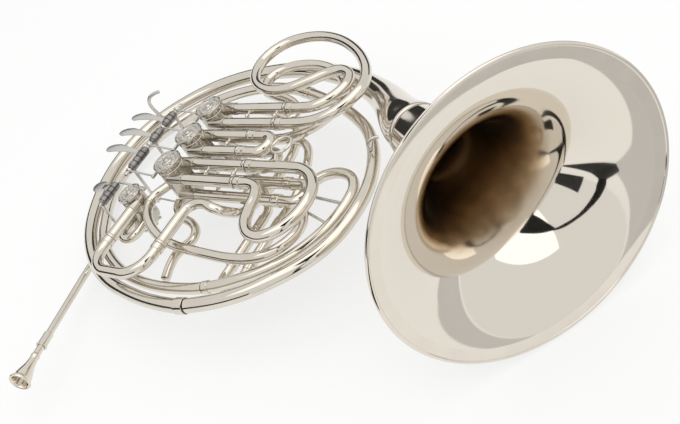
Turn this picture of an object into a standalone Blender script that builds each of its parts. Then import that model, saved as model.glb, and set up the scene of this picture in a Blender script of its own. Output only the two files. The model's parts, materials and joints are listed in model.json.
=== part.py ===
"""Double french horn, as an assembly of separate pieces on a bench.

Every size is in millimetres and turned to metres when a mesh is made. The bench frame
has its origin at the face of the second valve's cap. X runs along the valve slides,
away from the valves. Y runs along the row of valves, towards the third. Z is the
rotors' axis, towards the caps. The empty lying_pose carries the whole horn and lays it
down on its bell rim and the back of its coil, with the table at world Z = 0.
"""

import math

import bmesh
import bpy
import numpy as np
from mathutils import Matrix, Vector

MM = 0.001
GAP = 0.3  # between two pieces that touch
RUNNING_GAP = 0.15  # around a piece that slides or turns in another

# Bell
BELL_RADIUS = 157.0  # over the rolled rim
BELL_RIM_CENTRE = Vector((468.7, -60.0, -39.0))
BELL_AZIMUTH = -31.7
BELL_ELEVATION = 1.2
BELL_WALL = 1.1
RIM_WIRE_RADIUS = 2.2
FLARE_LENGTH = 200.0
FLARE_SCALE = 41.4
FLARE_POWER = 0.88
FLARE_SEGMENTS = 26

# Valves
ROTOR_SPACING = 46.7
CASING_RADIUS = 17.2
CAP_RADIUS = 18.3
CASING_TOP = -4.0
CASING_BOTTOM = -60.0
CHAMBER_BOTTOM = -57.0
ROTOR_RADIUS = 13.6
VALVE_SIDES = 14
SPINDLE_RADIUS = 3.0
SPINDLE_SCREW = 3.5  # how far the spindle's end stands past the links
F_LEVEL = -18.0
BB_LEVEL = -45.0
LEG_OFFSET = 12.85
CHANGE_VALVE = Vector((-43.0, -90.5, 0.0))
CHANGE_CAP_TOP = -12.0
CHANGE_SCALE = 0.86

# Tubing
SLEEVE_RADIUS = 6.9
SLIDE_RADIUS = 5.9
TUBE_SIDES = 8
SLEEVE_SIDES = 8
RING_STEP = 0.12
CROOK_RADIUS = 6.7
FERRULE_RADIUS = 7.7
CROOK_RING_LENGTH = 7.0
BB_CROOK_RADIUS = 6.3
KNUCKLE_END = 30.0
INSERTION = 45.0
SLEEVE_BRACE_SHARE = 0.78

# Levers
LEVER_AXIS_X = -61.0
LEVER_AXIS_Z = -5.0
LINK_LEVEL = -68.0
PIN_RADIUS_FROM_AXIS = 11.0
LEVER_ROD_RADIUS = 1.8


def clear_bore(radius, sides):
    """The bore of a faceted hole that a round piece turns or slides in."""
    return (radius + RUNNING_GAP) / math.cos(math.pi / sides)


def nickel(name, shade, roughness):
    """A Principled material for one of the horn's metals."""
    made = bpy.data.materials.new(name)
    made.use_nodes = True
    shader = made.node_tree.nodes["Principled BSDF"]
    shader.inputs["Base Color"].default_value = (*shade, 1.0)
    shader.inputs["Metallic"].default_value = 1.0
    shader.inputs["Roughness"].default_value = roughness
    made.diffuse_color = (*shade, 1.0)
    return made


# Curves


def smooth_curve(points, step=2.0):
    """A dense curve through hand-placed points (centripetal Catmull-Rom)."""
    knots = [Vector(p) for p in points]
    first = knots[0] * 2 - knots[1]
    last = knots[-1] * 2 - knots[-2]
    knots = [first, *knots, last]
    dense = [knots[1].copy()]
    for a, b, c, d in zip(knots, knots[1:], knots[2:], knots[3:]):
        t0 = 0.0
        t1 = t0 + max((b - a).length, 1e-6) ** 0.5
        t2 = t1 + max((c - b).length, 1e-6) ** 0.5
        t3 = t2 + max((d - c).length, 1e-6) ** 0.5
        count = max(2, round((c - b).length / step))
        for i in range(1, count + 1):
            t = t1 + (t2 - t1) * i / count
            ab = a.lerp(b, (t - t0) / (t1 - t0))
            bc = b.lerp(c, (t - t1) / (t2 - t1))
            cd = c.lerp(d, (t - t2) / (t3 - t2))
            abc = ab.lerp(bc, (t - t0) / (t2 - t0))
            bcd = bc.lerp(cd, (t - t1) / (t3 - t1))
            dense.append(abc.lerp(bcd, (t - t1) / (t2 - t1)))
    return dense


def bent_curve(corners, radius):
    """Straight runs joined by circular bends, as tube is bent on a mandrel."""
    knots = [Vector(p) for p in corners]
    dense = [knots[0].copy()]
    for a, b, c in zip(knots, knots[1:], knots[2:]):
        arriving = (b - a).normalized()
        leaving = (c - b).normalized()
        turn = arriving.angle(leaving)
        cut = radius * math.tan(turn / 2)
        start = b - arriving * cut
        side = (leaving - arriving * arriving.dot(leaving)).normalized()
        count = max(3, round(math.degrees(turn) / 6))
        for i in range(count + 1):
            swept = turn * i / count
            dense.append(
                start
                + arriving * (radius * math.sin(swept))
                + side * (radius * (1 - math.cos(swept)))
            )
    dense.append(knots[-1].copy())
    return dense


def thinned(dense, most_turn=22.0, most_run=60.0):
    """The stations of a tube: one for each few degrees that the curve turns."""
    kept = [dense[0]]
    heading = (dense[1] - dense[0]).normalized()
    run = 0.0
    for before, here, after in zip(dense, dense[1:], dense[2:]):
        run += (here - before).length
        ahead = (after - here).normalized()
        if math.degrees(heading.angle(ahead)) >= most_turn or run >= most_run:
            kept.append(here)
            heading = ahead
            run = 0.0
    if (dense[-1] - kept[-1]).length < 2.0 and len(kept) > 1:
        kept.pop()
    kept.append(dense[-1])
    return kept


def lengths_along(points):
    total = [0.0]
    for a, b in zip(points, points[1:]):
        total.append(total[-1] + (b - a).length)
    return total


def point_at(points, lengths, distance):
    distance = min(max(distance, 0.0), lengths[-1])
    i = min(int(np.searchsorted(lengths, distance, side="right")), len(points) - 1)
    share = (distance - lengths[i - 1]) / (lengths[i] - lengths[i - 1])
    return points[i - 1].lerp(points[i], share)


def stations_with_rings(dense, radius, rings):
    """(point, radius, heading) stations, with a step in and out of each raised ring."""
    lengths = lengths_along(dense)
    places = [(s, None) for s in lengths_along_of(thinned(dense), dense, lengths)]
    for start, end, ring_radius in rings:
        places = [p for p in places if not start - 1.5 < p[0] < end + 1.5]
        places += [
            (start - RING_STEP, None),
            (start, ring_radius),
            (end, ring_radius),
            (end + RING_STEP, None),
        ]
    places.sort(key=lambda place: place[0])
    made = []
    for s, ring_radius in places:
        plain = radius(s) if callable(radius) else radius
        ahead = point_at(dense, lengths, s + 0.5)
        behind = point_at(dense, lengths, s - 0.5)
        made.append((point_at(dense, lengths, s), ring_radius or plain, (ahead - behind).normalized()))
    return made


def lengths_along_of(kept, dense, dense_lengths):
    """How far along the dense curve each kept point lies."""
    found = []
    i = 0
    for point in kept:
        while (dense[i] - point).length > 1e-6:
            i += 1
        found.append(dense_lengths[i])
    return found


# Solids


def object_from(name, bm, material, origin=(0, 0, 0)):
    """An object in the bench frame, with its origin where the piece is held or turns."""
    origin = Vector(origin)
    bmesh.ops.translate(bm, verts=bm.verts, vec=-origin)
    bmesh.ops.scale(bm, verts=bm.verts, vec=(MM, MM, MM))
    bmesh.ops.recalc_face_normals(bm, faces=bm.faces)
    mesh = bpy.data.meshes.new(name)
    bm.to_mesh(mesh)
    bm.free()
    mesh.materials.append(material)
    mesh.shade_smooth()
    mesh.set_sharp_from_angle(angle=math.radians(38))
    made = bpy.data.objects.new(name, mesh)
    bpy.context.collection.objects.link(made)
    made.location = origin * MM
    return made


def ring_of_verts(bm, centre, across, up, radius, sides):
    ring = []
    for i in range(sides):
        angle = math.tau * (i + 0.5) / sides
        ring.append(
            bm.verts.new(centre + across * (radius * math.cos(angle)) + up * (radius * math.sin(angle)))
        )
    return ring


def skin(bm, first, second):
    for i in range(len(first)):
        j = (i + 1) % len(first)
        bm.faces.new((first[i], first[j], second[j], second[i]))


def frames_along(tangents):
    """Two directions square to each tangent, carried along without twist."""
    across = tangents[0].orthogonal().normalized()
    if abs(tangents[0].z) < 0.9:
        across = tangents[0].cross(Vector((0, 0, 1))).normalized()
    frames = []
    for i, tangent in enumerate(tangents):
        if i:
            across = tangents[i - 1].rotation_difference(tangent) @ across
        across = (across - tangent * across.dot(tangent)).normalized()
        frames.append((across, tangent.cross(across)))
    return frames


def tube_mesh(stations, sides, bore=None, bore_from=0):
    """A round tube lofted through its stations. A bore makes it hollow from there on.

    bore is a number, or a function of a station's outer radius. With bore_from 0 it
    runs right through, and a negative bore_from stops it blind, that many stations in.
    """
    bm = bmesh.new()
    frames = frames_along([heading for _, _, heading in stations])
    outer = []
    for (point, radius, _), (across, up) in zip(stations, frames):
        outer.append(ring_of_verts(bm, point, across, up, radius, sides))
    for a, b in zip(outer, outer[1:]):
        skin(bm, a, b)
    if bore is None:
        bm.faces.new(outer[0])
        bm.faces.new(outer[-1])
        return bm
    inner = []
    last = len(stations) if bore_from == 0 else -bore_from
    for (point, radius, _), (across, up) in list(zip(stations, frames))[:last]:
        inside = bore(radius) if callable(bore) else bore
        inner.append(ring_of_verts(bm, point, across, up, inside, sides))
    for a, b in zip(inner, inner[1:]):
        skin(bm, a, b)
    skin(bm, outer[0], inner[0])
    if bore_from == 0:
        skin(bm, outer[-1], inner[-1])
    else:
        bm.faces.new(inner[-1])
        bm.faces.new(outer[-1])
    return bm


def tube(name, dense, radius, material, rings=(), sides=8, origin=(0, 0, 0), **bore):
    stations = stations_with_rings(dense, radius, rings)
    return object_from(name, tube_mesh(stations, sides, **bore), material, origin)


def turned_mesh(profile, base, direction, sides, bm=None):
    """A closed outline of (distance along, radius) turned round an axis."""
    bm = bm or bmesh.new()
    base = Vector(base)
    direction = Vector(direction).normalized()
    across = direction.orthogonal().normalized()
    up = direction.cross(across)
    rings = []
    for along, radius in profile:
        centre = base + direction * along
        if radius < 1e-6:
            rings.append([bm.verts.new(centre)])
        else:
            rings.append(ring_of_verts(bm, centre, across, up, radius, sides))
    for a, b in zip(rings, rings[1:] + rings[:1]):
        if len(a) == 1 and len(b) == 1:
            continue
        if len(a) == 1 or len(b) == 1:
            tip, ring = (a[0], b) if len(a) == 1 else (b[0], a)
            for i in range(sides):
                bm.faces.new((tip, ring[i], ring[(i + 1) % sides]))
        else:
            skin(bm, a, b)
    return bm


def turned(name, profile, base, direction, material, sides=20, origin=None):
    bm = turned_mesh(profile, base, direction, sides)
    return object_from(name, bm, material, base if origin is None else origin)


def rod_profile(start, end, radius):
    return [(start, 0.0), (start, radius), (end, radius), (end, 0.0)]


def pipe_profile(start, end, radius, bore):
    return [(start, bore), (start, radius), (end, radius), (end, bore)]


def helper(bm, name):
    """A cutter or a piece to be joined on, which isn't a part of its own."""
    made = object_from(name, bm, metal_plain)
    made.hide_render = True
    made.hide_viewport = False
    made.display_type = "WIRE"
    return made


def combine(target, operation, others):
    """Joins helpers onto a piece, or cuts them out of it."""
    for other in others:
        modifier = target.modifiers.new(operation.lower(), "BOOLEAN")
        modifier.operation = operation
        modifier.solver = "EXACT"
        modifier.object = other
    return target


def rod_between(start, end, radius, sides=6):
    """The mesh of a straight rod from one point to another."""
    start, end = Vector(start), Vector(end)
    return turned_mesh(rod_profile(0, (end - start).length, radius), start, end - start, sides)


def plate_mesh(outline, low, high):
    """An outline in X and Y, raised between two heights."""
    bm = bmesh.new()
    base = [bm.verts.new((x, y, low)) for x, y in outline]
    face = bm.faces.new(base)
    raised = bmesh.ops.extrude_face_region(bm, geom=[face])
    tops = [v for v in raised["geom"] if isinstance(v, bmesh.types.BMVert)]
    bmesh.ops.translate(bm, verts=tops, vec=(0, 0, high - low))
    return bm


# Bell


def bell_direction():
    azimuth, elevation = math.radians(BELL_AZIMUTH), math.radians(BELL_ELEVATION)
    return Vector(
        (
            math.cos(azimuth) * math.cos(elevation),
            math.sin(azimuth) * math.cos(elevation),
            math.sin(elevation),
        )
    )


def flare_radius(depth):
    """The bell's radius at a depth behind the rim, which falls as a power law."""
    rim = BELL_RADIUS - RIM_WIRE_RADIUS
    return rim * (FLARE_SCALE / (depth + FLARE_SCALE)) ** FLARE_POWER


def bell_flare():
    """The spun flare, with its rim rolled over a wire."""
    depths = [3.0, 8.0, 16.0, 28.0, 46.0, 74.0, 125.0, FLARE_LENGTH]
    outer = [(-depth, flare_radius(depth)) for depth in reversed(depths)]
    inner = [(-depth, flare_radius(depth) - wall_across(depth)) for depth in depths]
    rolled = []
    for degrees in (215, 160, 105, 50, -5, -60):
        angle = math.radians(degrees)
        rolled.append(
            (
                RIM_WIRE_RADIUS * (math.cos(angle) - 1.0),
                BELL_RADIUS + RIM_WIRE_RADIUS * (math.sin(angle) - 1.0),
            )
        )
    profile = outer + rolled + inner
    return turned(
        "bell_flare", profile, BELL_RIM_CENTRE, bell_direction(), metal_bell, FLARE_SEGMENTS
    )


def wall_across(depth):
    """The wall measured square to the axis, which grows as the flare opens."""
    slope = FLARE_POWER * flare_radius(depth) / (depth + FLARE_SCALE)
    return BELL_WALL * math.sqrt(1 + slope * slope)


TAIL_POINTS = [
    (219, 107, -52),
    (186, 129, -55),
    (148, 148, -56),
    (112, 160, -56),
    (75, 168, -56),
    (37, 173, -56),
    (0, 172, -56),
    (-38, 167, -56),
    (-75, 157, -56),
    (-109, 141, -56),
    (-140, 117, -56),
    (-167, 86, -56),
    (-184, 48, -56),
    (-188, 4, -56),
    (-179, -42, -56),
    (-161, -83, -56),
    (-135, -121, -56),
    (-102, -152, -56),
    (-66, -175, -56),
    (-28, -191, -56),
    (12, -200, -56),
    (51, -205, -56),
    (84, -206, -56),
    (104, -205, -56),
    (118.4, -202.6, -56),
]
TAIL_END_RADIUS = 8.4
TAIL_EXTRA_RADIUS = 25.2
TAIL_TAPER_LENGTH = 130.0


def tail_curve():
    start = BELL_RIM_CENTRE - bell_direction() * (FLARE_LENGTH + GAP)
    straight = BELL_RIM_CENTRE - bell_direction() * (FLARE_LENGTH + 8)
    lead = BELL_RIM_CENTRE - bell_direction() * (FLARE_LENGTH + 30)
    return [start, *smooth_curve([straight, lead, *TAIL_POINTS])]


def tail_radius(distance):
    return TAIL_END_RADIUS + TAIL_EXTRA_RADIUS * math.exp(-distance / TAIL_TAPER_LENGTH)


def bell_tail():
    """The tapering tail, open behind the flare and closed further on."""
    dense = tail_curve()
    end = lengths_along(dense)[-1]
    return tube(
        "bell_tail",
        dense,
        tail_radius,
        metal_coil,
        rings=[(end - 13, end - 0.5, TAIL_END_RADIUS + 1.2)],
        sides=12,
        bore=lambda radius: radius - BELL_WALL,
        bore_from=-4,
    )


# Coil

BRANCH_POINTS = [
    (119, -202.5, -56),
    (137, -197, -56),
    (155, -190.5, -56),
    (172, -182.5, -56),
    (190, -171.5, -56.5),
    (210, -155, -57),
    (229, -136, -58),
    (246, -112, -59),
    (256, -84, -60),
    (259, -52, -61),
    (256, -20, -62),
    (246, 11, -62),
    (230, 40, -62),
    (207, 67, -62),
    (180, 87, -62),
    (148, 105, -62),
    (108, 122, -62),
    (64, 137, -62),
    (22, 145, -62),
    (-20, 145, -62),
    (-60, 136, -62),
    (-97, 118, -62),
    (-129, 91, -62),
    (-152, 58, -62),
    (-164, 25, -62),
    (-167.5, -8, -62),
    (-162, -40, -62),
    (-150, -70, -62),
    (-131, -97.5, -62),
    (-110, -123.5, -62),
    (-83, -145, -62),
    (-49, -162.5, -62),
    (-12, -175, -62),
    (28, -181, -62),
    (66, -181.5, -62),
    (104, -177, -62),
    (117.4, -173.8, -62),
]
FIRST_BRANCH_SHARE = 0.42
INLET_POINTS = [
    (118, -173.6, -62),
    (136, -168, -62),
    (158, -157.5, -62),
    (183, -143, -62),
    (206, -123, -62),
    (224, -99, -62),
    (236, -71, -62),
    (240, -42, -62),
    (237, -20, -62),
    (225, -5, -62),
    (206, 0.5, -62),
    (189, -3, -62),
    (177, -14, -62),
    (173, -31, -62),
    (179, -48, -62),
    (191, -62, -60.5),
    (203, -78, -56.5),
    (208, -97, -52.5),
    (203, -115, -50),
    (189, -130, -49),
    (168, -138.5, -48),
    (142, -141.5, -47),
    (114, -141, -46),
    (86, -140, -44),
    (60, -138.5, -42),
    (38, -134.5, -39),
    (16, -126, -36),
    (-3, -113.5, -33),
    (-16.5, -98, -31),
    (-20.5, -82, -30),
    (-17, -72, -30),
    (-10.1, -61.8, -30),
]


def split_curve(points, share):
    """One smooth curve cut in two at a share of its length, with a gap between."""
    dense = smooth_curve(points)
    lengths = lengths_along(dense)
    cut = lengths[-1] * share
    first = [p for p, s in zip(dense, lengths) if s < cut - GAP]
    second = [p for p, s in zip(dense, lengths) if s > cut + GAP]
    first.append(point_at(dense, lengths, cut - GAP / 2))
    second.insert(0, point_at(dense, lengths, cut + GAP / 2))
    return first, second


def coil():
    """Two turns of tapering tube and the branch that runs from them to the valves."""
    first, second = split_curve(BRANCH_POINTS, FIRST_BRANCH_SHARE)
    first_length = lengths_along(first)[-1]
    tube(
        "first_branch",
        first,
        lambda s: 8.3 - 0.9 * s / first_length,
        metal_coil,
        rings=[(first_length - 9, first_length - 0.5, 8.3)],
    )
    second_length = lengths_along(second)[-1]
    tube(
        "second_branch",
        second,
        lambda s: 7.3 - 0.5 * s / second_length,
        metal_coil,
        rings=[(0.5, 9, 8.3)],
    )
    third = smooth_curve(INLET_POINTS)
    third_length = lengths_along(third)[-1]
    tube(
        "valve_inlet_branch",
        third,
        lambda s: 6.7 - 0.8 * s / third_length,
        metal_coil,
        rings=[
            (0.5, 8, 7.7),
            (third_length - 34, third_length - 30, 7.0),
        ],
    )



# Valves


def valve_places():
    """Name, centre, scale across and cap height of the three valves and the change valve."""
    places = []
    for number, word in enumerate(("first", "second", "third")):
        centre = Vector((0, (number - 1) * ROTOR_SPACING, 0))
        places.append((f"{word}_valve", centre, 1.0, 0.0))
    places.append(("change_valve", CHANGE_VALVE, CHANGE_SCALE, CHANGE_CAP_TOP))
    return places


def valve_casing(name, centre, scale, cap_top):
    """A turned casing, open at the top, with the knuckles that the tubes are soldered to."""
    top = cap_top + CASING_TOP
    radius = CASING_RADIUS * scale
    chamber = clear_bore(ROTOR_RADIUS * scale, VALVE_SIDES)
    spindle_bore = clear_bore(SPINDLE_RADIUS, VALVE_SIDES)
    profile = [
        (top, 0),
        (top, radius - 1.2),
        (top - 4, radius - 1.2),
        (top - 4, radius),
        (CASING_BOTTOM + 5, radius),
        (CASING_BOTTOM, radius - 2.5),
        (CASING_BOTTOM, 0),
    ]
    hollow = [
        (CASING_BOTTOM - 5, 0),
        (CASING_BOTTOM - 5, spindle_bore),
        (CHAMBER_BOTTOM, spindle_bore),
        (CHAMBER_BOTTOM, chamber),
        (top + 5, chamber),
        (top + 5, 0),
    ]
    casing = turned(f"{name}_casing", profile, centre, (0, 0, 1), metal_valve, VALVE_SIDES)
    knuckles = []
    if name == "change_valve":
        for x_offset, level in (
            (MAIN_SLIDE_LEG_X - CHANGE_VALVE.x, MAIN_SLIDE_LEVEL),
            (CHANGE_BOW_X[0] - CHANGE_VALVE.x, CHANGE_BOW_LEVEL),
            (CHANGE_BOW_X[1] - CHANGE_VALVE.x, CHANGE_BOW_LEVEL),
        ):
            start = Vector((centre.x + x_offset, centre.y - 6, level))
            knuckles.append(rod_between(start, start + Vector((0, -12, 0)), SLEEVE_RADIUS, TUBE_SIDES))
    else:
        for level in (F_LEVEL, BB_LEVEL):
            for side in (-1, 1):
                start = centre + Vector((4, side * LEG_OFFSET, level))
                end = Vector((KNUCKLE_END, start.y, start.z))
                knuckles.append(rod_between(start, end, SLEEVE_RADIUS + 0.4, TUBE_SIDES))
    combine(casing, "UNION", [helper(bm, f"{name}_knuckle") for bm in knuckles])
    bore = turned_mesh(hollow, centre, (0, 0, 1), VALVE_SIDES)
    combine(casing, "DIFFERENCE", [helper(bore, f"{name}_chamber")])
    return casing


def valve_cap(name, centre, scale, cap_top):
    """The screwed cap: a raised edge, a ring of beading and a boss in the middle."""
    radius = CAP_RADIUS * scale
    floor = cap_top - 1.4
    profile = [
        (floor - 2.0, 0.0),
        (floor - 2.0, radius),
        (cap_top - 0.8, radius),
        (cap_top, radius - 0.8),
        (floor, radius - 2.2),
        (floor + 0.9, 0.55 * radius),
        (floor, 0.32 * radius),
        (floor + 2.8, 0.2 * radius),
        (floor + 3.2, 0.0),
    ]
    return turned(f"{name}_cap", profile, centre, (0, 0, 1), metal_ornament, VALVE_SIDES)


def rotor(name, centre, scale, cap_top):
    """The rotor, with its two ducts at each level and the spindle that turns it."""
    radius = ROTOR_RADIUS * scale
    top = cap_top + CASING_TOP - 2.6
    profile = [
        (LINK_LEVEL - SPINDLE_SCREW, 0.0),
        (LINK_LEVEL - SPINDLE_SCREW, SPINDLE_RADIUS - 0.6),
        (LINK_LEVEL - SPINDLE_SCREW + 0.5, SPINDLE_RADIUS),
        (CHAMBER_BOTTOM + 0.5, SPINDLE_RADIUS),
        (CHAMBER_BOTTOM + 0.5, radius),
        (top, radius),
        (top, 0.0),
    ]
    made = turned(f"{name}_rotor", profile, centre, (0, 0, 1), metal_valve, VALVE_SIDES)
    ducts = []
    levels = (F_LEVEL, BB_LEVEL) if name != "change_valve" else (MAIN_SLIDE_LEVEL, CHANGE_BOW_LEVEL)
    for level in levels:
        for side in (-1, 1):
            start = centre + Vector((-20, side * radius * 1.02, level))
            ducts.append(rod_between(start, start + Vector((40, 0, 0)), 5.2 * scale, 8))
    combine(made, "DIFFERENCE", [helper(bm, f"{name}_duct") for bm in ducts])
    return made


def stop_arm(name, centre):
    """The arm clamped on the spindle, above the link's eye. Its tail would meet the corks."""
    low, high = LINK_LEVEL + ARM_HUB_RISE, LINK_LEVEL + ARM_HUB_RISE + ARM_HUB_HEIGHT
    bar_low, bar_high = LINK_LEVEL + ARM_BAR_RISE, LINK_LEVEL + ARM_BAR_RISE + ARM_BAR_HEIGHT
    bm = turned_mesh(
        pipe_profile(low, high, ARM_HUB_RADIUS, clear_bore(SPINDLE_RADIUS, 8)), centre, (0, 0, 1), 8
    )
    made = object_from(f"{name}_stop_arm", bm, metal_satin, centre)
    arm_pin = turn_about(centre, REST_PIN_ANGLE, PIN_RADIUS_FROM_AXIS)
    tail_tip = turn_about(centre, REST_PIN_ANGLE + 180, PIN_RADIUS_FROM_AXIS)
    bars = []
    for tip, half_width in ((arm_pin, 2.6), (tail_tip, 2.2)):
        outward = (tip - centre).normalized()
        side = Vector((-outward.y, outward.x, 0)) * half_width
        start = centre + outward * (ARM_HUB_RADIUS - 1.4)
        corners = [start + side, start - side, tip - side, tip + side]
        bars.append(plate_mesh([(c.x, c.y) for c in corners], bar_low, bar_high))
    pin_span = (LINK_LEVEL - ARM_PIN_DROP, bar_low + 1.0)
    pin = turned_mesh(rod_profile(*pin_span, LINK_PIN_RADIUS), arm_pin, (0, 0, 1), 6)
    combine(made, "UNION", [helper(bm, f"{name}_arm_bar") for bm in [*bars, pin]])
    return made


def turn_about(centre, degrees, radius):
    angle = math.radians(degrees)
    return Vector((centre.x + radius * math.cos(angle), centre.y + radius * math.sin(angle), 0))


def valve_row():
    for name, centre, scale, cap_top in valve_places():
        valve_casing(name, centre, scale, cap_top)
        valve_cap(name, centre, scale, cap_top)
        rotor(name, centre, scale, cap_top)
        stop_arm(name, centre)


REST_PIN_ANGLE = -135.0
ARM_HUB_RADIUS = 6.0
ARM_HUB_RISE = 1.0
ARM_HUB_HEIGHT = 5.4
ARM_BAR_RISE = 1.6
ARM_BAR_HEIGHT = 2.4
ARM_PIN_DROP = 3.0

# Valve slides


def sleeve_pair(name, y_middle, level, start, end):
    """The two fixed outer legs of a slide, joined by the brace between them."""
    legs = []
    for side in (-1, 1):
        bore = clear_bore(SLIDE_RADIUS, SLEEVE_SIDES)
        profile = pipe_profile(start + GAP, end, SLEEVE_RADIUS, bore)
        profile.insert(2, (end - 3.5, SLEEVE_RADIUS))
        profile.insert(3, (end - 3.4, FERRULE_RADIUS))
        profile[4] = (end, FERRULE_RADIUS)
        base = (0, y_middle + side * LEG_OFFSET, level)
        legs.append(turned_mesh(profile, base, (1, 0, 0), SLEEVE_SIDES))
    made = object_from(name, legs[0], metal_coil, (start, y_middle, level))
    brace_x = start + (end - start) * SLEEVE_BRACE_SHARE
    brace = rod_between(
        (brace_x, y_middle - LEG_OFFSET + SLEEVE_RADIUS - 0.6, level),
        (brace_x, y_middle + LEG_OFFSET - SLEEVE_RADIUS + 0.6, level),
        1.7,
    )
    combine(made, "UNION", [helper(legs[1], f"{name}_leg"), helper(brace, f"{name}_brace")])
    return made


def slide_crook(name, dense, radius, sleeve_end, insertion):
    """The moving crook of a slide: its bow, its stop rings and its two inner legs."""
    total = lengths_along(dense)[-1]
    leg = insertion

    def outline(s):
        inside = s < leg - 0.05 or s > total - leg + 0.05
        return SLIDE_RADIUS if inside else radius

    far = total - leg
    rings = [
        (leg, leg + CROOK_RING_LENGTH, FERRULE_RADIUS),
        (far - CROOK_RING_LENGTH, far, FERRULE_RADIUS),
    ]
    stations = stations_with_rings(dense, outline, rings)
    origin = dense[0].lerp(dense[-1], 0.5)
    origin.x = sleeve_end
    return object_from(name, tube_mesh(stations, 8), metal_coil, origin)


def crook_curve(points, insertion):
    """A crook's curve with its straight inner legs added at both ends."""
    back = Vector((-insertion, 0, 0))
    return [Vector(points[0]) + back, *smooth_curve(points), Vector(points[-1]) + back]


THIRD_F_POINTS = [
    (118, 33.85, -18),
    (138, 33.9, -18),
    (158, 35.5, -18),
    (178, 40.5, -17),
    (197, 52, -15.5),
    (210, 70, -14),
    (213, 92, -14),
    (203, 116, -14),
    (184, 139, -14.5),
    (157, 161, -15.5),
    (125, 179, -16.5),
    (92, 190, -17.5),
    (60, 191.5, -18),
    (34, 183, -18),
    (18, 167, -18),
    (12, 147, -18),
    (16, 126, -18),
    (29, 108, -18),
    (49, 96, -18),
    (72, 91, -18),
    (96, 95, -18),
    (120, 107, -18),
    (142, 119.5, -18),
    (161, 123, -18),
    (177, 114, -18),
    (183, 98, -18),
    (178, 81, -18),
    (166, 68, -18),
    (151, 61, -18),
    (136, 59.6, -18),
    (118, 59.55, -18),
]
FIRST_F_POINTS = [
    (118, -33.85, -18),
    (150, -33.85, -18),
    (180, -33.85, -18),
    (201, -36, -18),
    (219, -46, -18),
    (231, -62, -18),
    (235, -83, -18),
    (231, -104, -18),
    (219, -121, -18),
    (202, -130, -18),
    (184, -127, -18),
    (170, -114, -18),
    (163, -96, -18),
    (159, -79, -18),
    (151, -66, -18),
    (138, -60.2, -18),
    (118, -59.55, -18),
]
THIRD_BB_POINTS = [
    (82, 33.85, -45),
    (100, 34, -44.5),
    (122, 36, -42),
    (145, 44, -38.5),
    (164, 59, -35),
    (173, 80, -34),
    (170, 102, -34),
    (155, 123, -34),
    (131, 141, -34),
    (103, 152.5, -34),
    (75, 156.5, -34),
    (50, 154, -34),
    (32, 144, -34),
    (25, 129, -34),
    (30, 114, -34),
    (44, 104, -34.5),
    (62, 99, -35.5),
    (80, 95, -37.5),
    (95, 87, -40.5),
    (101, 75, -43.5),
    (96, 63.5, -45),
    (82, 59.55, -45),
]


def hairpin_points(start_x, bow_x, y_middle, level):
    """A plain U, whose bow is a half circle."""
    points = [(start_x, y_middle - LEG_OFFSET, level)]
    for i in range(13):
        angle = math.radians(-90 + 15 * i)
        points.append(
            (
                bow_x + LEG_OFFSET * math.cos(angle),
                y_middle + LEG_OFFSET * math.sin(angle),
                level,
            )
        )
    points.append((start_x, y_middle + LEG_OFFSET, level))
    return [Vector(p) for p in points]


def valve_slides():
    third_y, second_y, first_y = ROTOR_SPACING, 0.0, -ROTOR_SPACING
    start = KNUCKLE_END
    sleeve_pair("third_f_slide_sleeves", third_y, F_LEVEL, start, 116)
    sleeve_pair("second_f_slide_sleeves", second_y, F_LEVEL, start, 90)
    sleeve_pair("first_f_slide_sleeves", first_y, F_LEVEL, start, 116)
    sleeve_pair("third_bb_slide_sleeves", third_y, BB_LEVEL, start, 80)
    sleeve_pair("second_bb_slide_sleeves", second_y, BB_LEVEL, start, 86)
    sleeve_pair("first_bb_slide_sleeves", first_y, BB_LEVEL, start, 160)
    long_leg = INSERTION
    for name, points, radius, sleeve_end, leg in (
        ("third_f_slide", THIRD_F_POINTS, CROOK_RADIUS, 116, long_leg),
        ("first_f_slide", FIRST_F_POINTS, CROOK_RADIUS, 116, long_leg),
        ("third_bb_slide", THIRD_BB_POINTS, BB_CROOK_RADIUS, 80, long_leg - 8),
    ):
        slide_crook(name, crook_curve(points, leg), radius, sleeve_end, leg + GAP)
    for name, level, sleeve_end, bow_x in (
        ("second_f_slide", F_LEVEL, 90, 113),
        ("second_bb_slide", BB_LEVEL, 86, 106),
        ("first_bb_slide", BB_LEVEL, 160, 182),
    ):
        y_middle = first_y if name.startswith("first") else second_y
        dense = hairpin_points(sleeve_end + GAP - long_leg, bow_x, y_middle, level)
        radius = CROOK_RADIUS if level == F_LEVEL else BB_CROOK_RADIUS
        slide_crook(name, dense, radius, sleeve_end, long_leg)


RING_CENTRE = Vector((158.6, -9.5, -8.5))
RING_RADIUS = 12.2
RING_WIRE = 2.0


def pull_ring():
    """The finger ring soldered to the first slide, to draw it out by."""
    bm = bmesh.new()
    rings = []
    for i in range(16):
        angle = math.tau * i / 16
        out = Vector((math.cos(angle), math.sin(angle), 0))
        rings.append(
            ring_of_verts(bm, RING_CENTRE + out * RING_RADIUS, out, Vector((0, 0, 1)), RING_WIRE, 6)
        )
    for a, b in zip(rings, rings[1:] + rings[:1]):
        skin(bm, a, b)
    made = object_from("first_slide_pull_ring", bm, metal_coil, RING_CENTRE)
    leg = Vector((RING_CENTRE.x, LEG_OFFSET - ROTOR_SPACING, F_LEVEL))
    rim = RING_CENTRE - Vector((0, RING_RADIUS, 0))
    foot = leg + (rim - leg).normalized() * (CROOK_RADIUS + GAP)
    post = rod_between(foot, rim, 1.9)
    return combine(made, "UNION", [helper(post, "pull_ring_post")])


# Main tuning slide

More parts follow.
